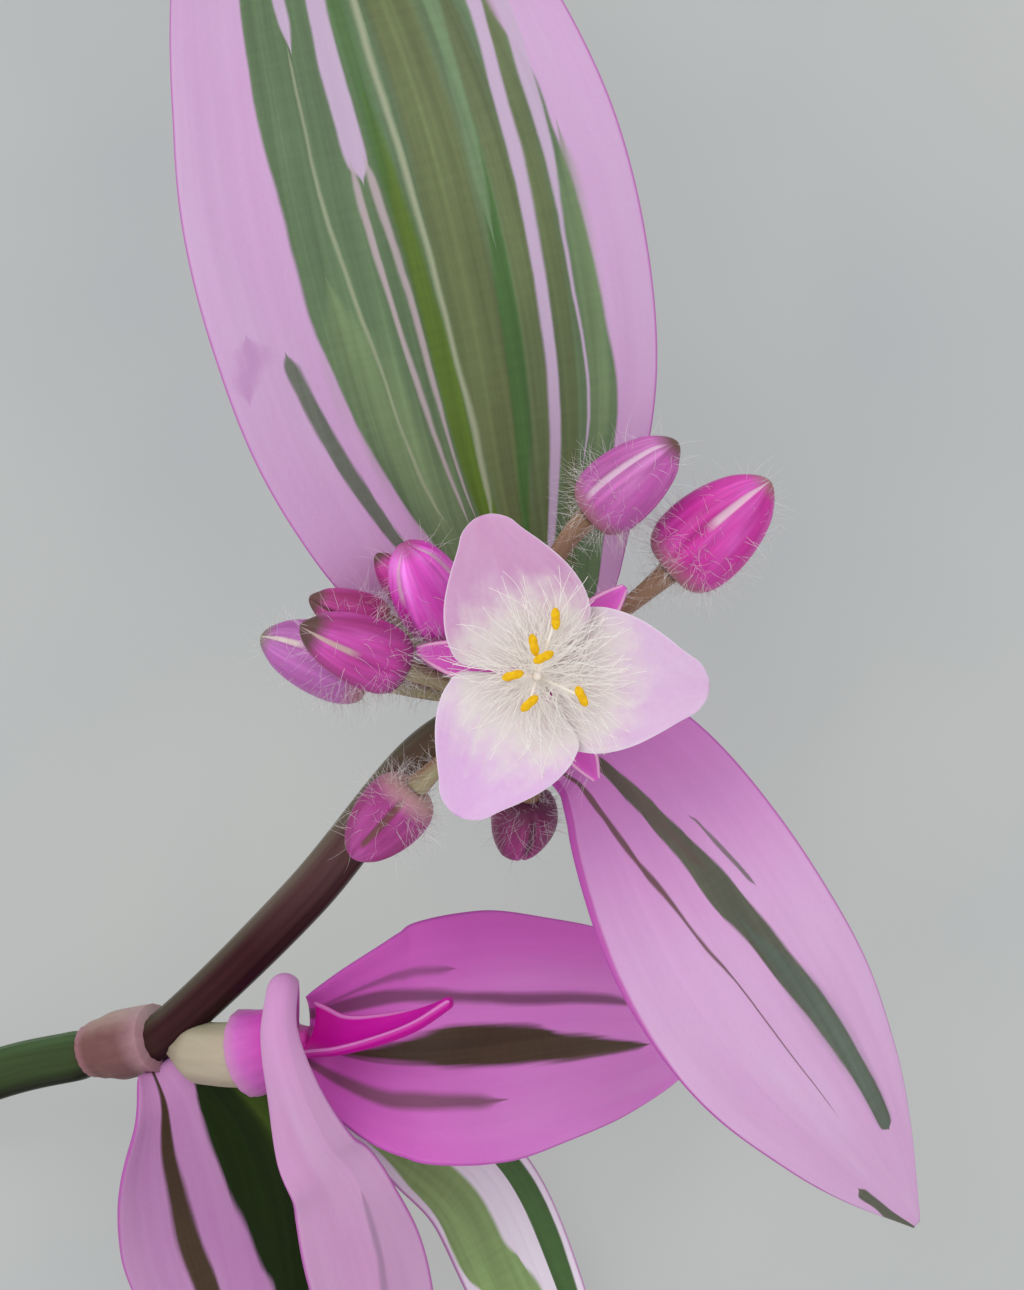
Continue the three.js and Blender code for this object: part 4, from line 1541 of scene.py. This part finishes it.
        def radius(share: Array, angle: Array) -> Array:
            """Radius at a share of the length and an angle."""
            rounding = np.sqrt(np.clip(1 - (2 * share - 1) ** 2, 0.01, 1))
            waist = 1 - 0.2 * np.exp(-(((share - 0.5) / 0.16) ** 2))
            section = np.hypot(self.anther_thick * np.cos(angle), self.anther_width * np.sin(angle))
            return 0.5 * rounding * waist * section

        return ring_surface(course, radius, 30, 24)

    def beard(self, filament: Course, draw: np.random.Generator) -> list[Array]:
        """Long curly hairs that stand out from one filament.

        Args:
            filament: Its centre line.
            draw: The source of random numbers.

        Returns:
            Points along each hair.
        """
        outward = filament.at(np.array([0.9]))[0] - np.asarray(FLOWER)
        straight = math.atan2(outward[1], outward[0])
        s = np.linspace(0, 1, self.hair_joints + 1)
        strands = []
        for _ in range(self.hairs_to_a_stamen):
            root = filament.at(np.array([draw.uniform(*self.hair_roots)]))[0]
            angle = straight + draw.normal(0, self.hair_spread)
            lift, length = draw.uniform(*self.hair_lifts), draw.uniform(*self.hair_lengths)
            curl, phase = draw.uniform(*self.hair_curls), draw.uniform(0, 2 * math.pi)
            turn = angle + curl * (np.sin(5 * s + phase) - math.sin(phase) + 0.8 * s**2)
            rise = lift - (lift + self.hair_droop) * s
            steps = np.column_stack([np.cos(turn), np.sin(turn), rise]) * (length / self.hair_joints)
            strands.append(root + np.vstack([np.zeros(3), np.cumsum(steps[:-1], axis=0)]))
        return strands


@dataclass
class Studio:
    """Pale floor, soft light and the camera, which looks straight down on the flower head."""

    camera_height: float = 253.0
    lens: float = 104.4
    film: float = 36.0  # along the picture's long side
    nearest: float = 10.0  # what is nearer to the camera isn't drawn
    floor_size: float = 3000.0
    lamp_place: Point = (-320.0, 380.0, 620.0)  # from the row's frame
    lamp_size: float = 500.0
    lamp_power: float = 1.5  # watts
    sky: str = "#fbfbfd"
    sky_power: float = 0.88

    def build(self, floor: Finish) -> None:
        """Makes floor, lights, world and camera.

        Args:
            floor: The floor's finish.
        """
        self.lay_floor(floor)
        self.hang_lights()
        self.place_camera()
        bpy.context.scene.view_settings.view_transform = "Standard"

    def lay_floor(self, finish: Finish) -> None:
        """Lays the floor at the height on which the cutting rests.

        Args:
            finish: The floor's finish.
        """
        half = self.floor_size / 2 * METRES
        mesh = bpy.data.meshes.new("floor")
        corners = [(x * half, y * half, 0) for x, y in ((-1, -1), (1, -1), (1, 1), (-1, 1))]
        mesh.from_pydata(corners, [], [(0, 1, 2, 3)])
        mesh.materials.append(finish.material())
        put_in_scene("floor", mesh)

    def hang_lights(self) -> None:
        """Hangs a large soft lamp up and to the left, over an even sky."""
        lamp = bpy.data.lights.new("key", "AREA")
        lamp.shape, lamp.size, lamp.energy = "DISK", self.lamp_size * METRES, self.lamp_power
        key = put_in_scene("key", lamp)
        key.location = tuple(np.array(self.lamp_place) * METRES)
        key.rotation_euler = key.location.to_track_quat("Z", "Y").to_euler()
        world = bpy.data.worlds.new("sky")
        world.use_nodes = True
        shine = world.node_tree.nodes["Background"]
        shine.inputs["Color"].default_value = linear(self.sky)
        shine.inputs["Strength"].default_value = self.sky_power
        bpy.context.scene.world = world

    def place_camera(self) -> None:
        """Puts the camera over the point under the flower head."""
        data = bpy.data.cameras.new("camera")
        data.lens, data.sensor_width, data.sensor_fit = self.lens, self.film, "AUTO"
        data.clip_start = self.nearest * METRES
        camera = put_in_scene("camera", data)
        camera.location = tuple((np.array([0, 0, self.camera_height]) - ORIGIN) * METRES)
        bpy.context.scene.camera = camera


# ---- The plant -----------------------------------------------------------------------------------

# How the bands run on each leaf, in thousandths. See Stripe.
UPPER_BRACT_BANDS = (
    Stripe(Tone.BAND_GREEN, (
        (0, 300, 500), (50, 280, 540), (100, 260, 545), (126, 240, 568), (151, 215, 592),
        (202, 180, 628), (253, 140, 637), (303, 107, 648), (352, 98, 643), (401, 87, 638),
        (452, 72, 652), (500, 35, 630), (582, 30, 628), (700, 20, 580), (800, 10, 500), (900, 0, 320),
        (955, 0, 0),
    ), softness=0.022),
    Stripe(Tone.SOFT_GREEN, (
        (20, -100, 150), (126, -180, 140), (202, -280, 140), (270, -370, 100), (350, -430, 0),
    ), softness=0.2, strength=0.75, streaks=0.12),
    Stripe(Tone.OLIVE_GREEN, (
        (0, 250, 120), (150, 220, 120), (300, 190, 120), (450, 200, 130), (600, 200, 120),
        (850, 100, 60), (930, 50, 0),
    ), softness=0.08, strength=0.85, streaks=0.08),
    Stripe(Tone.OLIVE_GREEN, (
        (50, 380, 50), (200, 420, 60), (400, 440, 60), (600, 460, 50), (850, 300, 0),
    ), softness=0.06, strength=0.7, streaks=0.06),
    Stripe(Tone.OLIVE_GREEN, (
        (100, 560, 40), (250, 570, 50), (400, 590, 50), (550, 650, 40), (800, 500, 0),
    ), softness=0.05, strength=0.7, streaks=0.05),
    Stripe(Tone.SOFT_GREEN, (
        (120, 700, 0), (200, 720, 50), (300, 710, 45), (370, 730, 30), (420, 750, 0),
    ), softness=0.06, strength=0.65, streaks=0.05),
    Stripe(Tone.SUN_GREEN, (
        (50, 100, 50), (100, 90, 50), (150, 40, 50), (200, 15, 50), (250, -5, 50), (300, -18, 45),
        (350, -30, 40), (400, -45, 35), (450, -60, 20), (500, -70, 0),
    ), softness=0.035, strength=0.95, streaks=0.03),
    Stripe(Tone.GRASS_GREEN, (
        (80, 260, 0), (116, 274, 30), (195, 319, 40), (295, 335, 38), (370, 355, 22), (444, 372, 13),
        (500, 390, 0),
    ), strength=0.9, streaks=0.02),
    Stripe(Tone.GRASS_GREEN, (
        (360, -70, 0), (420, -70, 30), (500, -70, 45), (600, -75, 50), (750, -70, 40), (900, -50, 0),
    ), softness=0.06, strength=0.65, streaks=0.05),
    Stripe(Tone.SAGE, (
        (315, 336, 0), (395, 345, 25), (492, 386, 35), (541, 414, 44), (650, 420, 45), (800, 330, 35),
        (900, 180, 0),
    ), softness=0.025, strength=0.95),
    Stripe(Tone.PALE_SAGE, (
        (120, -190, 0), (150, -227, 8), (201, -262, 9), (251, -287, 9), (301, -320, 9), (350, -342, 9),
        (400, -364, 9), (450, -372, 9), (501, -377, 9), (540, -378, 0),
    ), softness=0.035, strength=0.7),
    Stripe(Tone.PALE_SAGE, (
        (100, 50, 0), (147, 86, 12), (197, 85, 14), (247, 63, 14), (298, 49, 14), (347, 41, 14),
        (397, 30, 14), (497, 15, 15), (556, 26, 17), (700, 40, 15), (860, 30, 0),
    ), strength=0.9),
    Stripe(Tone.LILAC, (
        (516, -360, 0), (551, -371, 32), (570, -379, 37), (650, -380, 45), (750, -360, 40),
        (850, -300, 30), (920, -160, 0),
    ), softness=0.02),
    Stripe(Tone.LILAC, (
        (398, -165, 0), (419, -170, 47), (449, -178, 55), (499, -186, 55), (568, -172, 53),
        (700, -170, 50), (820, -140, 40), (920, -80, 0),
    ), softness=0.02, streaks=0.012),
    Stripe(Tone.DUSTY_LILAC, (
        (110, -66, 0), (149, -87, 8), (199, -116, 10), (250, -142, 14), (300, -169, 14),
        (349, -187, 16), (399, -200, 15), (430, -202, 0),
    ), softness=0.018, strength=0.95),
    Stripe(Tone.DUSTY_LILAC, (
        (110, -10, 0), (148, -31, 6), (199, -55, 11), (249, -72, 15), (299, -84, 14), (348, -101, 15),
        (398, -122, 18), (430, -135, 0),
    ), softness=0.018, strength=0.9),
    Stripe(Tone.LILAC, (
        (50, 380, 20), (94, 423, 24), (144, 471, 29), (193, 488, 31), (294, 500, 31), (394, 525, 32),
        (443, 541, 31), (490, 582, 32), (519, 608, 40), (600, 620, 45), (720, 560, 45), (830, 420, 40),
        (920, 200, 0),
    ), softness=0.02),
    Stripe(Tone.LILAC, (
        (130, 630, 0), (159, 645, 4), (191, 662, 7), (242, 656, 7), (293, 641, 9), (343, 650, 10),
        (393, 670, 24), (442, 688, 32), (489, 720, 35), (550, 750, 35), (620, 760, 0),
    ), softness=0.018, strength=0.95),
    Stripe(Tone.GREY_GREEN, (
        (50, -400, 30), (90, -430, 37), (122, -492, 39), (152, -543, 42), (204, -611, 43),
        (255, -665, 35), (275, -682, 34), (290, -690, 0),
    ), softness=0.022, strength=0.95, streaks=0.015),
    Stripe(Tone.ROSE_PURPLE, (
        (250, -920, 0), (272, -900, 50), (290, -840, 60), (310, -840, 0),
    ), softness=0.2, strength=0.4, streaks=0.06),
)
LOWER_BRACT_BANDS = (
    Stripe(Tone.MAGENTA, (
        (0, 960, 80), (150, 975, 50), (350, 985, 35), (600, 1000, 10),
    ), softness=0.04, strength=0.8),
    Stripe(Tone.BROWN, (
        (50, 780, 30), (120, 628, 39), (149, 569, 41), (199, 465, 33), (249, 381, 29), (299, 282, 28),
        (349, 212, 18), (399, 155, 13), (499, 82, 9), (597, 71, 8), (695, 62, 6), (750, 60, 0),
    ), strength=0.95),
    Stripe(Tone.GREY_OLIVE, (
        (40, 330, 80), (120, 193, 85), (150, 133, 88), (200, 31, 100), (251, -69, 101),
        (301, -152, 125), (352, -206, 137), (402, -274, 126), (505, -339, 114), (603, -395, 115),
        (696, -440, 112), (741, -467, 114), (787, -486, 110), (802, -495, 85), (812, -511, 0),
    ), streaks=0.02),
    Stripe(Tone.BLUE_GREEN, (
        (360, -220, 0), (505, -339, 80), (603, -395, 110), (696, -440, 105), (787, -486, 100),
        (802, -495, 70), (810, -511, 0),
    ), softness=0.3, strength=0.8),
    Stripe(Tone.BROWN, (
        (0, 400, 80), (120, 193, 75), (200, 31, 70), (270, -100, 50), (340, -200, 0),
    ), softness=0.1, strength=0.45, streaks=0.05),
    Stripe(Tone.GREY_OLIVE, (
        (235, -305, 0), (252, -346, 18), (302, -416, 20), (353, -475, 18), (370, -495, 0),
    ), softness=0.02, strength=0.8),
    Stripe(Tone.GREY_OLIVE, (
        (845, 620, 0), (863, 666, 116), (899, 692, 127), (951, 850, 240), (1000, 900, 300),
    ), softness=0.05),
)
NODE_LEAF_BANDS = (
    Stripe(Tone.BROWN_OLIVE, (
        (30, 380, 50), (100, 409, 80), (201, 377, 88), (300, 365, 105), (400, 325, 120),
        (600, 270, 110), (800, 180, 70), (930, 100, 0),
    ), softness=0.06, streaks=0.03),
    # the green right half of the folded blade, painted near-black as its shade, lighter green near the root
    Stripe(Tone.SHADED_DEEP_GREEN, (
        (30, -450, 0), (60, -500, 250), (100, -540, 460), (150, -525, 475), (200, -520, 450),
        (250, -510, 410), (300, -500, 350), (350, -500, 300), (400, -510, 254), (450, -530, 200),
        (650, -480, 170), (800, -400, 140), (930, -200, 0),
    ), softness=0.07, streaks=0.04),
    Stripe(Tone.SUN_GREEN, (
        (50, -800, 100), (120, -800, 160), (220, -760, 120), (340, -660, 0),
    ), softness=0.2, strength=0.45),
)
RIGHT_LEAF_BANDS = (
    Stripe(Tone.ORCHID, (
        (0, -950, 400), (500, -950, 360), (1000, -950, 300),
    ), softness=0.9, strength=0.9),
    Stripe(Tone.MAUVE_BROWN, (
        (80, -620, 30), (157, -610, 40), (183, -594, 39), (209, -590, 35), (259, -567, 26),
        (295, -565, 0),
    ), softness=0.06, strength=0.6),
    Stripe(Tone.MAUVE_BROWN, (
        (0, -500, 100), (100, -460, 90), (176, -414, 58), (210, -391, 57), (259, -358, 55),
        (310, -331, 43), (358, -308, 44), (407, -283, 48), (505, -275, 50), (624, -262, 50),
        (750, -220, 0),
    ), softness=0.07, strength=0.85),
    Stripe(Tone.BROWN_OLIVE, (
        (70, 120, 50), (162, 75, 85), (210, 52, 119), (259, 49, 155), (308, 58, 164), (357, 77, 165),
        (406, 95, 163), (455, 120, 158), (504, 173, 128), (554, 191, 117), (603, 213, 100),
        (653, 243, 72), (702, 269, 40), (750, 280, 0),
    ), softness=0.07, streaks=0.05),
    Stripe(Tone.BROWN, (
        (80, 500, 80), (154, 497, 77), (210, 474, 72), (259, 480, 60), (307, 497, 56), (356, 513, 12),
        (380, 520, 0),
    ), softness=0.08, strength=0.8),
)
FRONT_LEAF_BANDS = (
    # the duller right half of the folded blade: painted shade
    Stripe(Tone.MAUVE, (
        (430, -700, 300), (500, -640, 360), (593, -590, 400), (800, -500, 400), (950, -400, 300),
    ), softness=0.12, strength=0.22),
    # the grey line along the crease: painted shade
    Stripe(Tone.MAUVE, (
        (400, -380, 0), (434, -345, 45), (483, -286, 60), (530, -250, 55), (593, -182, 55),
        (750, -120, 45), (920, -50, 0),
    ), softness=0.08, strength=0.75),
)
BACK_LEAF_BANDS = (
    Stripe(Tone.FRESH_GREEN, (
        (100, 350, 300), (350, 450, 420), (500, 480, 460), (600, 260, 460), (800, 200, 350),
        (950, 50, 0),
    ), softness=0.06, streaks=0.04),
    Stripe(Tone.LEEK_GREEN, (
        (100, -550, 160), (400, -680, 180), (500, -705, 185), (657, -680, 180), (850, -500, 140),
        (950, -200, 0),
    ), softness=0.05, streaks=0.04),
)


def leaves() -> list[Leaf]:
    """The seven leaves, each with its blade, its skin and its bands.

    Returns:
        The leaves, from the flower head down.
    """
    return [
        Leaf(
            "leaf_bract_upper",
            "leaf_green",
            Blade(
                [(1.0, -1.6, 24.3), (-0.3, 2.4, 24.7), (-2.5, 9.5, 26.4), (-5.0, 21.0, 28.6),
                 (-7.9, 32.5, 27.6), (-10.8, 42.0, 23.6), (-13.2, 51.0, 14.6), (-14.8, 57.0, 5.8),
                 (-15.9, 61.8, 0.35)],
                [4.6, 9.3, 12.3, 13.5, 13.5, 12.2, 10.3, 8.4, 6.2, 3.4, 0.3],
                [(0.1, 0, 1), (0, 0, 1), (0, 0.2, 1)],
                [0.5, 0.32, 0.2, 0.14, 0.12],
                ripple=0.4, waves=2.5, fluting=0.035, ribs=9, rows=170, columns=84,
            ),
            LeafFinish(
                "green_banded_leaf", width=26.5, length=72.0, wobble=0.003, base="#c9a0c9", pale="#cba9cd",
                root="#d3a0d0", stripes=UPPER_BRACT_BANDS,
            ),
        ),
        Leaf(
            "leaf_bract_lower",
            "leaf_pink",
            Blade(
                [(1.5, -4.3, 25.0), (4.2, -5.6, 26.4), (7.2, -8.3, 27.0), (13.1, -18.6, 26.4),
                 (20.2, -28.8, 21.0), (25.9, -37.1, 13.6)],
                [2.4, 5.3, 6.7, 7.2, 6.8, 5.2, 3.0, 0.3],
                [(0.2, 0.2, 1), (0.15, 0.1, 1), (0.25, 0.1, 1)],
                [1.0, 0.35, 0.15, 0.1],
                ripple=0.25, waves=1.5, fluting=0.025,
            ),
            LeafFinish(
                "lilac_leaf", length=46.0, base="#d8a8d4", pale="#dcb4db", root="#ce74c4", root_reach=0.5,
                stripes=LOWER_BRACT_BANDS,
            ),
        ),
        Leaf(
            "leaf_node",
            "leaf_pink",
            Blade(
                [(-22.7, -26.9, 11.8), (-20.8, -29.4, 12.3), (-19.3, -34.4, 11.0), (-17.9, -42.3, 7.2),
                 (-16.3, -51.0, 3.2), (-15.3, -58.0, 1.0), (-14.7, -62.8, 0.35)],
                [2.0, 6.4, 7.3, 6.6, 5.4, 4.1, 2.4, 0.3],
                [(0.3, -0.2, 1), (0.15, 0, 1), (0, 0, 1)],
                [1.1, 0.35, 0.25, 0.2],
                ripple=0.3, waves=2, fluting=0.025,
            ),
            LeafFinish(
                "deep_banded_leaf", length=40.0, base="#c489bf", pale="#c697bf", root="#c58cbf", shine=0.15,
                stripes=NODE_LEAF_BANDS,
            ),
        ),
        Leaf(
            "leaf_shoot_right",
            "leaf_pink",
            Blade(
                [(-12.9, -25.0, 15.2), (-10.0, -25.2, 15.9), (-7.0, -25.3, 15.9), (-3.3, -25.1, 15.1),
                 (4.6, -24.7, 10.6), (10.3, -25.0, 5.0), (14.8, -25.4, 0.35)],
                [3.3, 7.6, 8.2, 7.2, 5.8, 3.8, 0.3],
                [(0.1, 0.1, 1), (0, 0.1, 1), (0.2, 0, 1)],
                [1.2, 0.4, 0.2, 0.15],
                ripple=0.25, waves=1.5, fluting=0.025,
            ),
            LeafFinish(
                "rose_leaf", width=16.0, length=33.0, base="#dd80d2", pale="#e090d6", root="#d25cc2",
                root_reach=0.45, stripes=RIGHT_LEAF_BANDS,
            ),
        ),
        Leaf(
            "leaf_shoot_front",
            "leaf_pink",
            Blade(
                [(-14.2, -24.0, 17.4), (-14.2, -21.2, 20.2), (-14.2, -20.9, 22.6), (-14.4, -23.6, 23.5),
                 (-13.6, -27.2, 22.7), (-12.2, -31.4, 20.3), (-10.5, -34.8, 17.5), (-8.9, -41.9, 11.6),
                 (-8.0, -50.0, 5.2), (-7.6, -56.2, 1.3), (-7.3, -60.6, 0.35)],
                [0.8, 1.1, 1.75, 3.0, 3.9, 3.8, 3.3, 2.3, 0.3],
                [(0, 1, 0.1), (-0.3, 0.5, 1), (0, 0, 1), (0, 0, 1), (0, 0, 1)],
                [-0.3, -1.2, -0.4, 0.3, 0.35, 0.3, 0.3, 0.25, 0.2],
                ripple=0.2, waves=2, fluting=0.008, ribs=5,
            ),
            LeafFinish(
                "pale_rose_leaf", width=8.0, length=48.0, base="#cf98c6", pale="#d3a6ce", root="#cf8cc6",
                stripes=FRONT_LEAF_BANDS,
            ),
        ),
        Leaf(
            "leaf_shoot_young",
            "leaf_young",
            Blade(
                [(-12.6, -24.7, 17.9), (-10.6, -24.8, 19.0), (-8.3, -24.3, 20.2), (-5.9, -23.4, 21.3),
                 (-3.7, -21.9, 22.4)],
                [2.4, 1.7, 1.35, 1.0, 0.35],
                [(0, 0.6, 1), (0, 0.9, 0.8), (-0.3, 1, 0.2)],
                [1.1, 1.3, 1.2, 0.5],
                rows=80, columns=44,
            ),
            # its pale margin is painted highlight along the rim
            LeafFinish(
                "young_magenta_leaf", width=4.0, length=11.0, base="#c50a9e", pale="#ca2aa4", root="#c60093",
                margin="#e08fd0", underside="#c00a96", shine=0.15,
            ),
        ),
        Leaf(
            "leaf_shoot_back",
            "leaf_pink",
            Blade(
                [(-14.2, -26.7, 13.4), (-12.2, -28.4, 11.1), (-9.2, -30.4, 9.0), (-5.6, -32.8, 7.4),
                 (-2.1, -36.2, 6.0), (0.9, -42.7, 4.2), (4.0, -50.0, 2.0), (6.6, -57.0, 0.35)],
                [1.4, 2.6, 3.6, 4.0, 3.9, 3.2, 1.9, 0.3],
                [(0.2, 0.1, 1), (0.2, 0.1, 1), (0.1, 0, 1)],
                [1.1, 0.5, 0.25, 0.15],
                ripple=0.2, waves=2, fluting=0.04, ribs=5,
            ),
            LeafFinish(
                "white_banded_leaf", width=8.0, length=40.0, base="#eadcea", pale="#f0e6f2", root="#d8c0d6",
                stripes=BACK_LEAF_BANDS,
            ),
        ),
    ]


def buds() -> dict[str, Bud]:
    """The nine closed buds.

    Returns:
        Each bud by the name of its node.
    """
    return {
        "bud_left_low": Bud((-8.4, -1.9, 28.4), (-15.1, 0.5, 28.1), 2.25, (0, -0.9, -0.6), roll=-0.21),
        "bud_left_mid": Bud((-6.4, -1.3, 32.3), (-12.3, 1.1, 35.2), 2.05, (0, -1.2, -1.4), roll=0.17),
        "bud_left_high": Bud((-7.6, 1.2, 29.9), (-12.0, 2.8, 31.2), 1.35, (0, 0, 0.2), roll=0.3),
        "bud_upper_near": Bud((-3.8, 1.0, 30.2), (-6.3, 5.9, 34.6), 2.2, (0.3, 0.6, -0.4), roll=1.0),
        "bud_upper_far": Bud((-5.5, 2.6, 28.0), (-8.1, 5.4, 29.4), 1.1, (0, 0.8, -0.9)),
        "bud_right_near": Bud((4.6, 7.6, 31.8), (9.7, 11.9, 33.6), 2.15, (-0.8, 0.6, 0), roll=0.5),
        "bud_right_far": Bud((9.4, 4.4, 29.8), (15.3, 9.7, 31.4), 2.7, (0, 0.4, 0), roll=0.15),
        "bud_lower_left": Bud((-5.8, -8.6, 28.4), (-9.7, -12.8, 26.6), 2.1, (0.2, -0.3, 0.8)),
        "bud_lower_back": Bud((1.0, -9.3, 22.6), (0.2, -13.2, 18.6), 1.95, (0.2, -1.2, 0), roll=0.4),
    }


def calyx_finishes() -> dict[str, Finish]:
    """The skin of each bud: where its seam shows, and how far its tip has browned.

    Returns:
        Each bud's finish by the name of its node.
    """
    keys = ("base", "pale", "root", "seam", "seam_reach", "tip", "tip_from", "foot")
    # root is each sepal's darker middle, partly painted shade
    looks: dict[str, tuple[Any, ...]] = {
        "bud_left_low": ("#b868b2", "#bc76b8", "#ab529f", "#e4dccb", (0.62, 1.1), "#6a7846", 0.88),
        # its dark foot is painted shade on the bud's lower side
        "bud_left_mid": (
            "#c0409c", "#cc5cb8", "#8c2c64", "#c9b3a8", (0.55, 1.0), "#4c4024", 0.8, "#743256",
        ),
        "bud_left_high": ("#b23686", "#bd4c98", "#8c2f5c", "#4c3324", (0.2, 1.1), "#5b4436", 0.8),
        "bud_upper_near": ("#e242c4", "#f08ee8", "#d84cbc", "#dcb4cc", (0.55, 0.95), "#8a4a5c", 0.9),
        "bud_upper_far": ("#cc3ca0", "#d456b0", "#a03070", "#e2c6da", (0.4, 0.8), "#4c4228", 0.84),
        "bud_right_near": ("#bc60aa", "#c67eba", "#c052ac", "#e2c6da", (0.15, 0.91), "#5c4a28", 0.86),
        "bud_right_far": ("#cc349f", "#d664c0", "#c02494", "#e6cbd8", (0.5, 1.0), "#8a7c54", 0.9),
        "bud_lower_left": (
            "#a43884", "#b6549e", "#842a5c", "#6a4a30", (0.1, 0.75), "#b04aa4", 0.95, "#c6a49c",
        ),
        "bud_lower_back": (
            "#8c3068", "#a44484", "#5c2440", "#5a3244", (0.1, 0.7), "#a94f99", 0.9, "#6c3a52",
        ),
    }
    named = {name: dict(zip(keys, look)) for name, look in looks.items()}
    return {name: CalyxFinish(name.replace("bud", "calyx"), **look) for name, look in named.items()}


def plant_finishes() -> dict[str, Finish]:
    """Every finish of the plant except the leaves'.

    Returns:
        Each finish by what it covers.
    """
    stem_top = (
        (0.0, "#3c4c2a"), (0.46, "#3a4a2a"), (0.5, "#4a3c30"), (0.56, "#381a1c"),
        (0.68, "#3a181c"), (0.8, "#563a3a"), (0.93, "#625040"), (1.0, "#6a5e4a"),
    )
    # painted highlight down the stem's left side, painted shade down its right side
    stem_highlight_side = ((0.0, "#435a34"), (0.46, "#45603a"), (0.54, "#4e4a3c"), (0.75, "#6a6054"), (1.0, "#6a6652"))
    stem_shade_side = ((0.0, "#0c1000"), (0.46, "#101200"), (0.56, "#260c10"), (0.8, "#3a2022"), (1.0, "#46342c"))
    return {
        **calyx_finishes(),
        "petal_upper": PetalFinish("petal_deep_lilac", base="#cb98c0", pale="#d2a6ca", white_reach=5.0),
        "petal_right": PetalFinish("petal_pale_lilac", base="#d8b5d8", pale="#dcc0db", white_reach=5.7),
        "petal_lower": PetalFinish("petal_clear_lilac", base="#dcb2de", pale="#dfbfe0"),
        "sepal": LeafFinish(
            "sepal_magenta", width=2.6, length=7.0, base="#e05cc8", pale="#ee9ae2", root="#cc3cb0",
            margin="#eec4d8", underside="#cc50b8", flesh=0.15,
        ),
        # the left ramps of the stalks, the shoot and the sheath are painted highlight on that side
        "stalk": StemFinish(
            "stalk_skin", roughness=0.5, courses=((0.0, "#6d5a44"), (0.5, "#836350"), (1.0, "#9c7e64")),
            left=((0.0, "#8b8a5e"), (1.0, "#a39a78")),
        ),
        "stem": StemFinish(
            "stem_skin", roughness=0.4, relief=0.012, grain=0.5, flesh=0.05, shine=0.12,
            courses=stem_top, left=stem_highlight_side, right=stem_shade_side,
        ),
        "shoot": StemFinish(
            "shoot_skin", left=((0.0, "#a9ab88"), (0.6, "#b6ae94"), (1.0, "#c060a8")), streak=0.05,
            courses=((0.0, "#a39a82"), (0.5, "#b8ac96"), (0.74, "#c070a8"), (1.0, "#c8249f")),
        ),
        "sheath": StemFinish(
            "sheath_skin", roughness=0.5, streak=0.08,
            courses=((0.0, "#98686f"), (0.15, "#744b49"), (0.7, "#774f4e"), (1.0, "#a47c84")),
            left=((0.0, "#a87c86"), (0.3, "#ac9286"), (1.0, "#b09694")),
        ),
        "shoot_sheath": StemFinish(
            "shoot_sheath_skin", roughness=0.4, streak=0.04,
            courses=((0.0, "#c88cba"), (0.3, "#d068c2"), (1.0, "#cc38b0")),
        ),
        # the ovary's glow is painted light that makes it brighter
        "ovary": PlainFinish(
            "ovary_white", roughness=0.5, flesh=0.2, glow=0.12, base="#e6dccc", pale="#ece5dc",
        ),
        "pollen": PlainFinish(
            "pollen_yellow", roughness=0.75, relief=0.05, grain=0.09, base="#e6b006", pale="#f4c614",
            patch=0.25,
        ),
    }


def hair_coats() -> dict[str, Coat]:
    """The coats of hairs: on the stalks, on each bud, on the sepals and on the filaments.

    Returns:
        Each coat by what it covers.
    """
    smooth: dict[str, Any] = {"roughness": 0.5, "relief": 0.0, "flesh": 0.0}
    white = PlainFinish("hair_white", base="#ece6e4", pale="#f6f3f0", **smooth).material()
    # the beard's glow is painted light, standing in for light that scatters through the white hairs
    beard = PlainFinish("beard_white", base="#ece6e0", pale="#f4f0ea", glow=0.1, **smooth).material()
    coats = {
        "stalks": Coat("stalk_hairs", white, density=6.0, length=1.3, seed=3),
        "sepals": Coat("sepal_hairs", white, density=5.0, length=1.7, radius=0.013, seed=5),
        "beard": Coat("filament_hairs", beard),
    }
    for seed, name in enumerate(buds(), 11):
        coats[name] = Coat(
            f"{name}_hairs", white, density=8.0, length=1.7, radius=0.012, bend=0.4, lean=0.7, seed=seed
        )
    return coats


def main() -> None:
    """Builds the plant from its classes, then the studio."""
    logging.basicConfig(level=logging.INFO, format="%(name)s: %(message)s")
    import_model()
    finishes, coats = plant_finishes(), hair_coats()
    StemWork().build(finishes)
    Foliage(leaves()).build()
    BudCluster(buds()).build(finishes, coats)
    OpenFlower().build(finishes, coats)
    table = PlainFinish(
        "light_table", roughness=0.9, relief=0.0, flesh=0.0, shine=0.1, glow=2.3, base="#696b6c",
        pale="#6f716f", patch=60.0,
    )
    Studio().build(table)
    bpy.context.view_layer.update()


if __name__ == "__main__":
    main()
